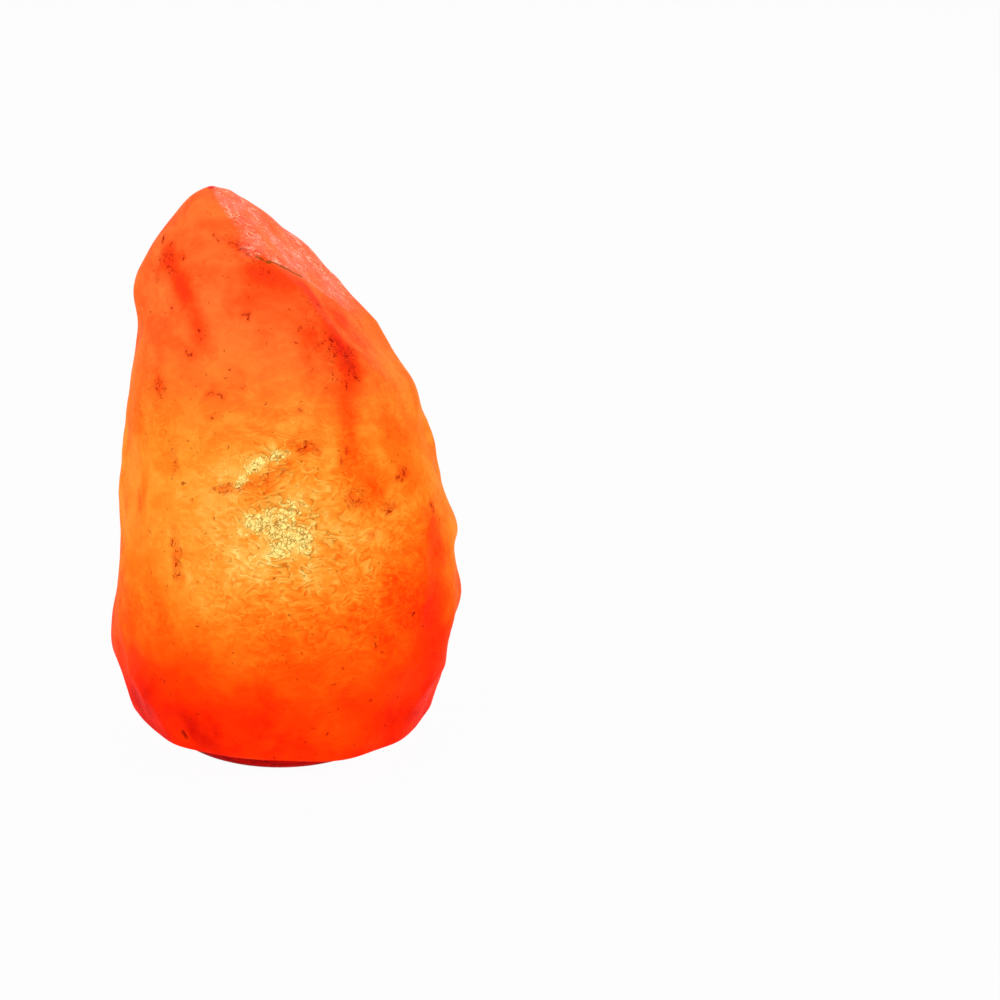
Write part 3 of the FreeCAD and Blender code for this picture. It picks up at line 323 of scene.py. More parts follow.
# The broad glow round the bulb, its upper lobe, and the crumpled salt in front of the bulb.
BULB_GLOW = ((-4, -60, 100), (0, 0, 1), 50, 44)
UPPER_GLOW = ((-8, -54, 134), (1, 0, 0.3), 17, 11)
CRUMPLED = ((6, -58, 100), (0, 0, 1), 46, 38)
CRYSTAL = 1.5  # size of a grain of crushed salt


# -------- working with arrays
def unit(vectors):
    """Each vector divided by its own length."""
    return vectors / np.maximum(np.linalg.norm(vectors, axis=-1, keepdims=True), 1e-12)


def smooth_step(low, high, values):
    """0 below low, 1 above high, and between them 3t squared less 2t cubed."""
    t = np.clip((values - low) / (high - low), 0, 1)
    return t * t * (3 - 2 * t)


def through(knots, values, t):
    """A smooth curve through values at knots.

    Between two knots it is the cubic that meets both values with the slope of the line
    through each knot's two neighbours.
    """
    slopes = np.gradient(values, knots, axis=0)
    i = np.clip(np.searchsorted(knots, t, side="right") - 1, 0, len(knots) - 2)
    step = knots[i + 1] - knots[i]
    u = (t - knots[i]) / step
    shape = u.shape + (1,) * (values.ndim - 1)
    u = u.reshape(shape)
    step = step.reshape(shape)
    return (
        (2 * u**3 - 3 * u**2 + 1) * values[i]
        + (u**3 - 2 * u**2 + u) * step * slopes[i]
        + (3 * u**2 - 2 * u**3) * values[i + 1]
        + (u**3 - u**2) * step * slopes[i + 1]
    )


def swell(points, wavelength, seed):
    """Gradient noise from about -0.7 to 0.7.

    Each corner of a cubic lattice holds a random direction. A point takes the dot product of
    its offset from each corner with that direction, blended with a quintic fade.
    """
    slots = 1024
    primes = np.array([73856093, 19349663, 83492791])
    directions = unit(np.random.default_rng(seed).normal(size=(slots, 3)))
    cell = points / wavelength
    corner = np.floor(cell).astype(np.int64)
    offset = cell - corner
    fade = offset**3 * (offset * (offset * 6 - 15) + 10)
    total = np.zeros(points.shape[:-1])
    for step in np.ndindex(2, 2, 2):
        step = np.array(step)
        slot = ((corner + step) @ primes) % slots
        weight = np.prod(np.where(step == 1, fade, 1 - fade), axis=-1)
        total += weight * ((offset - step) * directions[slot]).sum(axis=-1)
    return total


def creases(points, wavelength, seed):
    """Sharp ridges from 0 to 1: one less twice the size of gradient noise."""
    return 1 - 2 * np.abs(swell(points, wavelength, seed))


def on_skin(points, place):
    """The point of the skin nearest to a place."""
    flat = points.reshape(-1, 3)
    return flat[((flat - np.array(place)) ** 2).sum(axis=-1).argmin()]


def streak(points, centre, direction, half_length, half_width):
    """1 on a short line, falling off as a bell curve along it and across it."""
    offset = points - np.array(centre)
    along = offset @ unit(np.array(direction, float))
    across_squared = np.maximum((offset**2).sum(axis=-1) - along**2, 0)
    return np.exp(-((along / half_length) ** 2) - across_squared / half_width**2)


def skin_streak(points, line, widening=1):
    """A streak whose centre is first brought onto the skin."""
    centre, direction, half_length, half_width = line
    return streak(points, on_skin(points, centre), direction, half_length, half_width * widening)


# -------- meshes
def grid_faces(rows, columns):
    """Quads between the rows of a grid whose columns close on themselves."""
    row = np.arange(rows - 1)[:, None] * columns
    here = np.arange(columns)[None, :]
    after = (here + 1) % columns
    quads = np.stack([row + here, row + columns + here, row + columns + after, row + after], axis=-1)
    return quads.reshape(-1, 4)


def grid_mesh(name, points, first_pole, last_pole):
    """A mesh from rows of points in millimetres, closed at each end by a fan round a pole."""
    rows, columns = points.shape[:2]
    vertices = np.vstack([points.reshape(-1, 3), first_pole, last_pole])
    pole = np.full(columns, rows * columns)
    here = np.arange(columns)
    after = (here + 1) % columns
    last = (rows - 1) * columns
    first_fan = np.stack([pole, here, after], axis=-1)
    last_fan = np.stack([pole + 1, last + after, last + here], axis=-1)
    faces = grid_faces(rows, columns).tolist() + first_fan.tolist() + last_fan.tolist()
    mesh = bpy.data.meshes.new(name)
    mesh.from_pydata((vertices * MM).tolist(), [], faces)
    mesh.polygons.foreach_set("use_smooth", np.ones(len(faces), bool))
    mesh.update()
    return mesh


def point_values(mesh, name, values):
    """Store one number a vertex for the material to read."""
    attribute = mesh.attributes.new(name, "FLOAT", "POINT")
    attribute.data.foreach_set("value", np.asarray(values, np.float32))


def in_scene(name, data):
    """A new object of the scene."""
    thing = bpy.data.objects.new(name, data)
    bpy.context.scene.collection.objects.link(thing)
    return thing


# -------- the rock
def rock_place(place):
    """A place whose height is a share of the rock's, in millimetres."""
    x, y, share = place
    return np.array([x, y, ROCK_BOTTOM + share * ROCK_HEIGHT])


def rock_skin():
    """The bare form of the skin, from the peak down to the rim.

    Each row is a level outline: in the direction of angle a it reaches to the point where
    |x / half width|^n + |y / half depth|^n is 1, about a centre that drifts with height.
    Every cleaved face then presses in, level, what stands proud of it, by a softened amount,
    each lump adds a bell curve, and each long wave a sine.
    """
    table = np.array(ROCK_SECTIONS)[::-1]
    heights = ROCK_BOTTOM + table[:, 0] * ROCK_HEIGHT
    middle_x = (table[:, 1] + table[:, 2]) / 2
    middle_y = (table[:, 3] + table[:, 4]) / 2
    half_x = (table[:, 2] - table[:, 1]) / 2
    half_y = (table[:, 4] - table[:, 3]) / 2
    columns = np.stack([heights, middle_x, middle_y, half_x, half_y], axis=-1)
    steps = np.linalg.norm(np.diff(columns, axis=0), axis=-1)
    knots = np.concatenate([[0], np.cumsum(steps)])
    t = np.linspace(0, knots[-1], SKIN_ROWS + 1)[1:]
    height, mid_x, mid_y, wide, deep = through(knots, columns, t).T[..., None]
    angle = np.linspace(0, 2 * np.pi, COLUMNS, endpoint=False)
    across = np.cos(angle)
    along = np.sin(angle)
    power = np.abs(across) ** ROCK_SQUARENESS + np.abs(along) ** ROCK_SQUARENESS
    reach = power ** (-1 / ROCK_SQUARENESS)
    x = mid_x + wide * reach * across
    y = mid_y + deep * reach * along
    skin = np.stack([x, y, np.broadcast_to(height, x.shape)], axis=-1)
    for direction, place, soft in ROCK_FACETS:
        outward = unit(np.array(direction))
        proud = (skin - rock_place(place)) @ outward
        pressed = soft * np.logaddexp(0, proud / soft)
        level = outward * np.array([1, 1, 0])
        skin = skin - pressed[..., None] * level / (level @ level)
    outward = unit(skin - np.stack(np.broadcast_arrays(mid_x, mid_y, skin[..., 2]), axis=-1))
    raised = np.zeros(x.shape)
    for place, size, height in ROCK_LUMPS:
        raised += height * streak(skin, rock_place(place), (0, 0, 1), size, size)
    for direction, length, height in ROCK_WAVES:
        raised += height * np.sin(2 * np.pi * (skin @ unit(np.array(direction))) / length)
    return skin + raised[..., None] * outward


def outward_normals(points):
    """The direction square to the grid at each point, from its neighbours' differences."""
    down = np.gradient(points, axis=0)
    around = np.roll(points, -1, axis=1) - np.roll(points, 1, axis=1)
    return unit(np.cross(down, around))


def scoops(points, count, seed):
    """Shallow hollows that meet in soft ridges: the squared distance to the nearest of some
    points picked from the skin, as a share of the squared radius of a hollow, up to 1.6."""
    flat = points.reshape(-1, 3)
    centres = flat[np.random.default_rng(seed).integers(0, len(flat), count)]
    squared = (flat**2).sum(axis=-1)[:, None] + (centres**2).sum(axis=-1) - 2 * flat @ centres.T
    nearest = np.maximum(squared.min(axis=1), 0).reshape(points.shape[:2])
    return np.minimum(nearest / SCOOP_RADIUS**2, 1.6)


def rock_relief(points):
    """How far each point of the skin stands off the bare form, in millimetres."""
    relief = sum(height * swell(points, wavelength, seed) for height, wavelength, seed in RELIEF_SWELLS)
    scooped = smooth_step(-0.3, 0.15, swell(points, 52, 3))
    relief += scooped * (scoops(points, SCOOPS, 4) - 0.5)
    warp = np.stack([swell(points, 14, seed) for seed in (5, 6, 7)], axis=-1)
    warped = points + 4 * warp
    rough = crumple(points)
    for height, wavelength, seed, kept in RELIEF_CREASES:
        ridges = creases(warped, wavelength, seed) - CREASE_MIDDLE
        relief += (kept + (1 - kept) * rough) * height * ridges
    return relief - SEAM_DEPTH * seam(points)


def crumple(points):
    """Where the skin is finely creased like crushed foil, from 0 to 1."""
    patches = smooth_step(0, 0.35, swell(points, 38, 11))
    creased = np.clip(0.08 + 1.1 * streak(points, *CRUMPLED) + 0.3 * patches, 0, 1)
    return creased * smooth_step(*CREASED_ABOVE, points[..., 2])


def warmth(points):
    """How warm the glow is: a curve over height, streaks, and two sizes of swell."""
    heights, levels = np.array(GLOW_BY_HEIGHT).T
    warm = through(heights, levels, points[..., 2])
    warm += 0.14 * streak(points, *BULB_GLOW) + 0.09 * streak(points, *UPPER_GLOW)
    for *line, change, _ in STREAKS:
        warm += change * skin_streak(points, line)
    return warm + 0.09 * swell(points, 34, 12) + 0.07 * swell(points, 13, 13)


def thinness(points):
    """Where the bulb shines through most strongly, from 0 to 1."""
    return np.max([share * skin_streak(points, line) for *line, share in HOT_SPOTS], axis=0)


def veins(points):
    """Where rust gathers, from 0 to 1: along the streaks, and in drifts away from the foot."""
    gathered = sum(rust * skin_streak(points, line, 1.4) for *line, _, rust in STREAKS)
    drifts = smooth_step(0.2, 0.5, swell(points, 24, 14)) * smooth_step(*RUSTY_ABOVE, points[..., 2])
    return np.clip(gathered + 0.3 * drifts, 0, 1)


def seam(points):
    """The scored lines where the long flat meets the rest, from 0 to 1."""
    scored = np.zeros(points.shape[:-1])
    for middle, reach, half_width in seam_lines():
        scored += streak(points, middle, reach, np.linalg.norm(reach) * 1.1, 3 * half_width)
    return np.clip(scored, 0, 1)


def seam_lines():
    """Each scored line by its middle, its reach to each end and half its width."""
    for (start, end), half_width in SEAMS:
        yield (np.array(start) + np.array(end)) / 2, (np.array(end) - np.array(start)) / 2, half_width


def frost(points, normals):
    """Where the skin is scraped and pale: the long flat behind its scored edge, patchily."""
    outward = unit(np.array(ROCK_FACETS[0][0]))
    edge = unit(np.array(FLAT_EDGE))
    behind = (points - np.array(FLAT_EDGE_PLACE)) @ np.cross(outward, edge)
    facing = smooth_step(0.70, 0.90, normals @ outward)
    high = smooth_step(*SCRAPED_ABOVE, points[..., 2])
    return facing * high * smooth_step(-1.5, 1.5, behind) * smooth_step(-0.6, 0.1, swell(points, 18, 15))


def cavity(rim):
    """The rows below and inside the rock: from its rim along the flat underside to the drilled
    hole, up the hole's wall, and over its dome by the sine and cosine of a quarter turn."""
    level = np.array([1, 1, 0])
    upright = np.array([0, 0, 1])
    edge = unit(rim * level) * CAVITY_RADIUS + upright * ROCK_BOTTOM
    share = np.linspace(0, 1, UNDERSIDE_ROWS + 1)[1:, None, None]
    underside = rim + (edge - rim) * share
    underside[..., 2] = ROCK_BOTTOM
    share = np.linspace(0, 1, WALL_ROWS + 1)[1:, None, None]
    wall = edge + upright * (CAVITY_TOP - ROCK_BOTTOM) * share
    turn = np.linspace(0, np.pi / 2, DOME_ROWS + 1)[1:-1, None, None]
    dome = edge * level * np.cos(turn) + upright * (CAVITY_TOP + CAVITY_DOME * np.sin(turn))
    return np.concatenate([underside, wall, dome])


def rock():
    """The hollowed rock as one closed surface: skin, rim, underside, cavity wall and dome."""
    skin = rock_skin()
    above_rim = skin[..., 2:3] - ROCK_BOTTOM
    fade = (0.35 + 0.65 * smooth_step(0, RIM_FADE, above_rim)) * smooth_step(0, RIM_EDGE, above_rim)
    skin = skin + outward_normals(skin) * rock_relief(skin)[..., None] * fade
    normals = outward_normals(skin)
    skin[..., 2] = np.maximum(skin[..., 2], ROCK_BOTTOM)
    inside = cavity(skin[-1])
    peak = skin[0].mean(axis=0)
    top = (0, 0, CAVITY_TOP + CAVITY_DOME)
    mesh = grid_mesh("salt_crystal", np.concatenate([skin, inside]), peak, top)
    outer = skin.reshape(-1, 3)
    inner = np.concatenate([inside.reshape(-1, 3), [peak], [top]])
    drilled = np.linalg.norm(inner[:, :2], axis=-1) < CAVITY_RADIUS + 0.5

    def store(name, skin_values, inner_values):
        filled = np.broadcast_to(inner_values, len(inner))
        point_values(mesh, name, np.concatenate([skin_values.ravel(), filled]))

    store("warmth", warmth(outer), warmth(inner) + 0.16 * drilled)
    store("crumple", crumple(outer), 0.1)
    store("veins", veins(outer), 0.2)
    store("thinness", thinness(outer), 0)
    # painted sheen of light from above, stronger up the rock
    store("painted_sheen", smooth_step(*PAINTED_SHEEN_ABOVE, outer[:, 2]), smooth_step(*PAINTED_SHEEN_ABOVE, inner[:, 2]))
    store("frost", frost(skin, normals), 0)
    marks = [(on_skin(outer, place), reach, radius) for place, reach, radius in MARKS]
    mesh.materials.append(salt_finish(marks))
    thing = in_scene("rock", mesh)
    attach(thing, "lamp")
    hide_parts("salt_crystal")


# -------- patterns
def linear(red, green, blue):
    """A colour given as screen values from 0 to 255, in the linear values that nodes take."""
    shares = [value / 255 for value in (red, green, blue)]
    return tuple(s / 12.92 if s <= 0.04045 else ((s + 0.055) / 1.055) ** 2.4 for s in shares) + (1,)


class Reading:
    """A number, place or colour that a node gives at every point, open to plain arithmetic."""

    def __init__(self, nodes, socket):
        self.nodes = nodes
        self.socket = socket

    def also(self, output):
        """What another output of the same node gives."""
        return Reading(self.nodes, self.socket.node.outputs[output])

    def __add__(self, other):
        return self.nodes.math("ADD", self, other)

    def __sub__(self, other):
        return self.nodes.math("SUBTRACT", self, other)

    def __rsub__(self, other):
        return self.nodes.math("SUBTRACT", other, self)

    def __mul__(self, other):
        return self.nodes.math("MULTIPLY", self, other)

    def power(self, exponent):
        return self.nodes.math("POWER", self, exponent)

    def most(self, other):
        """The larger of two."""
        return self.nodes.math("MAXIMUM", self, other)

    def least(self, other):
        """The smaller of two."""
        return self.nodes.math("MINIMUM", self, other)

    def fraction(self):
        """What is over from the whole number below."""
        return self.nodes.math("FRACT", self)

    def span(self, low, high, start=0, end=1):
        """The stretch from low to high becomes start to end, with smooth ends."""
        inputs = {"Value": self, "From Min": low, "From Max": high, "To Min": start, "To Max": end}
        return self.nodes.give("MapRange", "Result", inputs, interpolation_type="SMOOTHSTEP")

    def fall(self, low, high):
        """1 up to low, and 0 from high."""
        return self.span(low, high, 1, 0)

    def within(self, inner, outer):
        """1 up to an inner distance and 0 from an outer one, both in millimetres."""
        return self.fall(inner * MM, outer * MM)

    def ramp(self, *stops):
        """A colour that runs through stops of (position, screen colour)."""
        colour = self.nodes.give("ValToRGB", "Color", {"Fac": self})
        band = colour.socket.node.color_ramp
        while len(band.elements) < len(stops):
            band.elements.new(1)
        for element, (position, shade) in zip(band.elements, stops):
            element.position = position
            element.color = linear(*shade)
        return colour


class Nodes:
    """A node tree, and short calls for its nodes."""

    def __init__(self, tree):
        self.tree = tree

    def feed(self, socket, value):
        """Link a reading to a socket, or set a number or colour on it."""
        if isinstance(value, Reading):
            self.tree.links.new(value.socket, socket)
        else:
            socket.default_value = value

    def give(self, kind, output, inputs=(), **settings):
        """Make a node, and give what one of its outputs reads."""
        made = self.tree.nodes.new("ShaderNode" + kind)
        for key, value in settings.items():
            setattr(made, key, value)
        for key, value in dict(inputs).items():
            self.feed(made.inputs[key], value)
        return Reading(self, made.outputs[output])

    def math(self, operation, first, second=0):
        return self.give("Math", 0, {0: first, 1: second}, operation=operation)

    def seen_plainly(self):
        """1 where the camera looks, straight, by a reflection or through glass, and else 0."""
        path = self.give("LightPath", "Is Camera Ray")
        return path.most(path.also("Is Glossy Ray")).most(path.also("Is Transmission Ray"))


class Finish(Nodes):
    """A material whose patterns follow the place on the piece, with sizes in millimetres."""

    def __init__(self, name, **sockets):
        self.material = bpy.data.materials.new(name)
        self.material.use_nodes = True
        super().__init__(self.material.node_tree)
        self.place = self.give("TexCoord", "Object")
        self.set(**sockets)

    def set(self, **sockets):
        """Feed the shader's own sockets, and give the material."""
        shader = self.tree.nodes["Principled BSDF"]
        for socket, value in sockets.items():
            self.feed(shader.inputs[socket.replace("_", " ")], value)
        return self.material

    def stored(self, name):
        """A number that the mesh holds at each vertex."""
        return self.give("Attribute", "Fac", attribute_name=name)

    def noise(self, wavelength, detail=2, roughness=0.5, distortion=0, place=None):
        """Noise whose largest features are a wavelength across."""
        inputs = dict(Vector=place or self.place, Scale=1 / (wavelength * MM))
        inputs.update(Detail=detail, Roughness=roughness, Distortion=distortion)
        return self.give("TexNoise", "Fac", inputs)

    def cells(self, size, place=None, feature="F1"):
        """Irregular cells of a size: how far a place lies from its cell's middle, or its edge."""
        inputs = dict(Vector=place or self.place, Scale=1 / (size * MM))
        return self.give("TexVoronoi", "Distance", inputs, feature=feature)

    def mix(self, share, first, second, blend="MIX"):
        """A share of a second colour laid over a first."""
        inputs = {0: share, 6: first, 7: second}
        return self.give("Mix", 2, inputs, data_type="RGBA", blend_type=blend)

    def vector(self, operation, first, second=(0, 0, 0)):
        output = "Value" if operation in ("DOT_PRODUCT", "DISTANCE") else "Vector"
        return self.give("VectorMath", output, {0: first, 1: second}, operation=operation)

    def shaken(self, wavelength, reach):
        """The place on the piece, moved about by noise by up to half a reach."""
        drift = self.vector("SUBTRACT", self.noise(wavelength).also("Color"), (0.5, 0.5, 0.5))
        moved = self.vector("MULTIPLY", drift, (reach * MM, reach * MM, reach * MM))
        return self.vector("ADD", self.place, moved)

    def stretched(self, *scale):
        """The place on the piece, with each direction multiplied by its own scale, so that a
        pattern is drawn out along a direction whose scale is small."""
        return self.give("Mapping", 0, {"Vector": self.place, "Scale": scale})

    def from_line(self, offset, direction, reach):
        """How far an offset lies from a line through zero that ends at plus and minus reach."""
        along = self.vector("DOT_PRODUCT", offset, direction).most(-reach).least(reach)
        inputs = {0: direction, "Scale": along}
        nearest = self.give("VectorMath", "Vector", inputs, operation="SCALE")
        return self.vector("DISTANCE", offset, nearest)

    def from_stroke(self, place, middle, reach):
        """How far a place lies from a straight stroke, with a reach to each side of a middle."""
        length = math.dist(reach, (0, 0, 0))
        direction = tuple(float(value) / length for value in reach)
        offset = self.vector("SUBTRACT", place, tuple(float(value) * MM for value in middle))
        return self.from_line(offset, direction, length * MM)

    def dashes(self, place, size, reach, radius, chance):
        """1 on short strokes, each at an angle of its own, in some of the cells of a size."""
        cell = self.cells(size, place)
        colour = cell.also("Color")
        draw = self.give("SeparateColor", 0, {0: colour})
        kept = self.math("LESS_THAN", (draw * 17).fraction(), chance)
        direction = self.vector("NORMALIZE", self.vector("SUBTRACT", colour, (0.5, 0.5, 0.5)))
        offset = self.vector("SUBTRACT", place, cell.also("Position"))
        away = self.from_line(offset, direction, reach * MM)
        return kept * away.within(0.5 * radius, 1.2 * radius)

    def bump(self, height, depth, strength, under=None):
        """Raise the surface by height times a depth."""
        inputs = {"Height": height, "Distance": depth * MM, "Strength": strength}
        if under is not None:
            inputs["Normal"] = under
        return self.give("Bump", "Normal", inputs)


# -------- the salt
def salt_folds(finish, thin, rough):
    """Folds in the salt, where slow noise crosses whole numbers: how far across its fold each
    point lies, from 0 to 1, and how strongly the folds are drawn there."""
    flow = finish.noise(9, 3, 0.5, 0.5, finish.stretched(0.7, 1, 1.2))
    fold = (flow * 8 + thin * 4).fraction()
    return fold, finish.noise(4).span(0.34, 0.56) * rough


def salt_crush(finish, thin):
    """Crushed salt at the hot spots: how hot it is, how far each point lies from its grain's
    edge, how full the grain is there, and how much light the grain adds."""
    place = finish.shaken(3, 4)
    draw = finish.give("SeparateColor", 1, {0: finish.cells(CRYSTAL, place).also("Color")})
    net = finish.cells(CRYSTAL, place, "DISTANCE_TO_EDGE")
    patch = finish.noise(3.4, 5, 0.65, 0.8)
    hot = (thin + patch.span(0.34, 0.66, -0.3, 0.3)).span(0.15, 0.95)
    full = net.span(0.05, 0.4, 0.3, 1)
    flecked = (draw + hot * 0.7).span(0.7, 1.4)
    return hot, net, full, (flecked * full * 0.30 + 0.11) * hot


def salt_crease_shade(finish, fold, drawn, thin, hot, net):
    """Painted shade in the creases, from 0 to 1: dark lines where one fold ends at the next, and between
    hot grains.
    """
    edge = fold.least(1 - fold).fall(0.02, 0.16)
    scatter = finish.noise(2.4).span(0.4, 0.54, 0.3, 1)
    between = net.fall(0.02, 0.16) * hot * scatter
    return (edge * drawn * thin.span(0, 0.35, 0.35, 1) * 0.8).most(between)


def salt_dirt(finish, marks, place, trembling, eaten, grain):
    """Soot and rust, each from 0 to 1: marks in their places, and dashes, specks and threads
    that gather along the veins, all with a rusty halo."""
    vein = finish.stored("veins")
    spots = halo = 0.0
    for middle, reach, radius in marks:
        away = finish.from_stroke(trembling, middle, reach)
        spots = (away + eaten).within(0.4 * radius, 1.4 * radius).most(spots)
        halo = away.within(0.5, 2.4).most(halo)
    cluster = finish.noise(5) + vein * 0.16
    gathered = cluster.span(0.48, 0.60) * vein.span(0.12, 0.6)
    dashes = finish.dashes(place, 2.3, 0.9, 0.4, gathered * 0.5 + 0.045)
    specks = finish.dashes(place, 1.8, 0.1, 0.44, gathered * 0.22 + 0.06)
    thread = finish.math("ABSOLUTE", finish.noise(3, 2, 0.5, 0.8) - 0.5)
    threads = thread.fall(0.008, 0.034) * gathered * 0.9
    soot = (dashes * 0.85).most(specks * 0.65).most(threads) * grain.span(0.3, 0.6, 0.55, 1)
    faint = finish.noise(7).span(0.38, 0.56, 0.45, 1)
    rust = cluster.span(0.46, 0.66) * vein.span(0.1, 0.8, 0, 0.4)
    return soot.most(spots) * faint, rust.most(halo * 0.35)


def salt_scrapes(finish, place):
    """The scraped flat: its blush, its pale scratches and its red grooves, each from 0 to 1.
    The scratches and grooves are two parts of each rise of noise drawn out down the flat."""
    scraped = finish.stored("frost")
    down_the_flat = (0, math.radians(31.6), math.radians(35))
    inputs = {"Vector": place, "Rotation": down_the_flat, "Scale": (5, 1, 1)}
    turned = finish.give("Mapping", 0, inputs, vector_type="TEXTURE")
    combed = (finish.noise(2, 2, 0.5, 0.6, turned) * 5).fraction()
    scratch = combed.span(0, 0.08) * combed.fall(0.1, 0.42)
    groove = combed.span(0.62, 0.98) * combed.fall(0.98, 1)
    scuffed = scraped * finish.noise(5.5, 3, 0.6, 0.5).span(0.40, 0.62, 0.1, 1)
    blush = scraped * finish.noise(8).span(0.36, 0.6, 0.3, 0.85)
    return blush, scratch * scuffed, groove * scuffed


def salt_score(finish, trembling, eaten):
    """Painted shade along the scored edge of the flat and a painted highlight just above it, each from 0
    to 1.
    """
    score_shade = score_highlight = 0.0
    for middle, reach, half_width in seam_lines():
        away = finish.from_stroke(finish.place, middle, reach) + eaten
        score_shade = away.within(0.4 * half_width, 1.6 * half_width).most(score_shade)
        above = finish.from_stroke(trembling, middle + SEAM_HIGHLIGHT_OFFSET, reach)
        score_highlight = above.within(0.5 * half_width, 1.2 * half_width).most(score_highlight)
    return score_shade, score_highlight


def salt_finish(marks):
    """Translucent salt lit from inside: the glow is emission, warmed and cooled across folds in the salt
    as painted light and shade, with painted shade in the creases and along the scored edge, a painted
    highlight above that edge and a painted pale sheen high up, and with rust and soot on it and a
    scratched, scored flat."""
    finish = Finish("salt", Specular_IOR_Level=0.02, Emission_Strength=1)
    rough = finish.stored("crumple")
    thin = finish.stored("thinness")
    painted_sheen = finish.stored("painted_sheen")
    shaken = finish.shaken(2.6, 3.2)
    trembling = finish.shaken(1.8, 3)
    grain = finish.noise(0.8, 2, 0.6, 0.2)
    eaten = (finish.noise(1.5, 2, 0.6) - 0.5) * (1.5 * MM)

    cloud = finish.noise(15, 2, 0.5, 0.5)
    strokes = finish.noise(3.6, 4, 0.6, 0.8, finish.stretched(0.6, 1, 1))
    fold, drawn = salt_folds(finish, thin, rough)
    hot, net, full, flecks = salt_crush(finish, thin)
    heat = finish.stored("warmth") + cloud.span(0.3, 0.7, -0.05, 0.05)
    heat = heat + strokes.span(0.3, 0.7, -0.05, 0.05) * (rough + 0.4) + thin.span(0, 1) * 0.11
    # painted light and shade: each fold of the salt is warmer on one side and cooler on the other
    heat = heat + fold.span(0, 1, 0.09, -0.09) * drawn + flecks
    glow = heat.ramp(
        (0.00, (214, 12, 0)),
        (0.10, (246, 32, 0)),
        (0.26, (250, 58, 0)),
        (0.42, (246, 88, 4)),
        (0.56, (244, 118, 18)),
        (0.70, (242, 150, 44)),
        (0.84, (244, 184, 80)),
        (1.00, (255, 240, 140)),
    )
    # painted sheen: the glow of the upper rock turns pale, as if lit from above
    glow = finish.mix(painted_sheen * heat.span(0.25, 0.6, 0, 0.19), glow, linear(246, 150, 106))
    # painted shade: dark lines in the creases between folds and between hot grains
    line = salt_crease_shade(finish, fold, drawn, thin, hot, net)
    crease_shade_colour = heat.ramp(
        (0.35, (218, 48, 0)),
        (0.60, (190, 80, 4)),
        (0.85, (144, 94, 4)),
    )
    glow = finish.mix(line * 0.95, glow, crease_shade_colour)
    soot, rust = salt_dirt(finish, marks, shaken, trembling, eaten, grain)
    glow = finish.mix(rust, glow, linear(238, 60, 4))
    glow = finish.mix(soot, glow, (0.44, 0.13, 0.04, 1), "MULTIPLY")
    blush, scratch, groove = salt_scrapes(finish, shaken)
    glow = finish.mix(blush, glow, linear(240, 112, 90))
    glow = finish.mix(groove * 0.7, glow, linear(226, 74, 44))
    glow = finish.mix(scratch * 0.85, glow, linear(254, 196, 168))
    score_shade, score_highlight = salt_score(finish, trembling, eaten)
    # painted highlight just above the scored edge, then painted shade along it
    glow = finish.mix(score_highlight * 0.7, glow, linear(254, 196, 164))
    glow = finish.mix(score_shade * 0.78, glow, linear(138, 72, 16))

    # the colour under the lamps follows the glow's warmth: darker and redder low on the rock, where the
    # glow is dim, as painted shade, and carrying the painted light and shade of the folds
    unlit = heat.ramp(
        (0.10, (110, 14, 2)),
        (0.35, (140, 36, 6)),
        (0.70, (150, 70, 20)),
    )
    # painted sheen: the colour of the upper rock is paler, as if lit from above
    unlit = finish.mix(painted_sheen * 0.3, unlit, linear(170, 90, 60))
    unlit = finish.mix(scratch, unlit, linear(210, 150, 130))
    # soot, and painted shade along the scored edge, darken the colour under the lamps
    unlit = finish.mix(soot.most(score_shade), unlit, linear(60, 8, 2))
    fine = finish.bump(finish.noise(1.4, 5, 0.65, 0.6), 0.35, 0.5)
    creased = finish.bump(fold * drawn, 0.3, 0.4, fine)
    return finish.set(
        Base_Color=unlit,
        Emission_Color=glow,
        Roughness=grain.span(0.3, 0.7, 0.48, 0.64),
        Normal=finish.bump(full * hot, 0.3, 0.4, creased),
    )


# -------- the other finishes
TURNED = (0.06, 0.06, 1)  # fine lines run round the piece
DRAWN = (1, 1, 0.06)  # or up it
ROLLED = (0.06, 1, 1)  # or from left to right
EVEN = (1, 1, 1)


def wood_finish():
    """Turned hardwood, stained dark red and oiled: rings, fibres and open pores along X. The
    rings lie round the tree's heart, a line in front of the base's middle and below it."""
    heart_forward = 0.018
    heart_below = 0.052
    ring_width = 0.0034
    finish = Finish("wood", Coat_Weight=0.04, Coat_Roughness=0.3, Specular_IOR_Level=0.1)
    height = finish.give("SeparateXYZ", "Z", {0: finish.place})
    rise = (height + heart_below).power(2)
    reach = (height.also("Y") + heart_forward).power(2)
    bend = finish.noise(30, 3, 0.5, 0, finish.stretched(0.3, 1, 1))
    year = (finish.math("SQRT", rise + reach) * (1 / ring_width) + bend * 3).fraction()
    fibre = finish.noise(0.9, 4, 0.6, 0, finish.stretched(0.05, 1, 1))
    pore = finish.noise(0.5, 1, 0.5, 0, finish.stretched(0.09, 1, 1)).span(0.62, 0.68)
    colour = (year.power(2.2) * 0.45 + fibre * 0.55).ramp(
        (0.18, (238, 22, 9)),
        (0.45, (222, 12, 5)),
        (0.80, (168, 8, 4)),
    )
    return finish.set(
        Base_Color=finish.mix(pore * 0.7, colour, linear(74, 8, 6)),
        Roughness=fibre.span(0.3, 0.7, 0.32, 0.5),
        Normal=finish.bump(fibre * 0.5 - pore, 0.06, 0.6),
    )


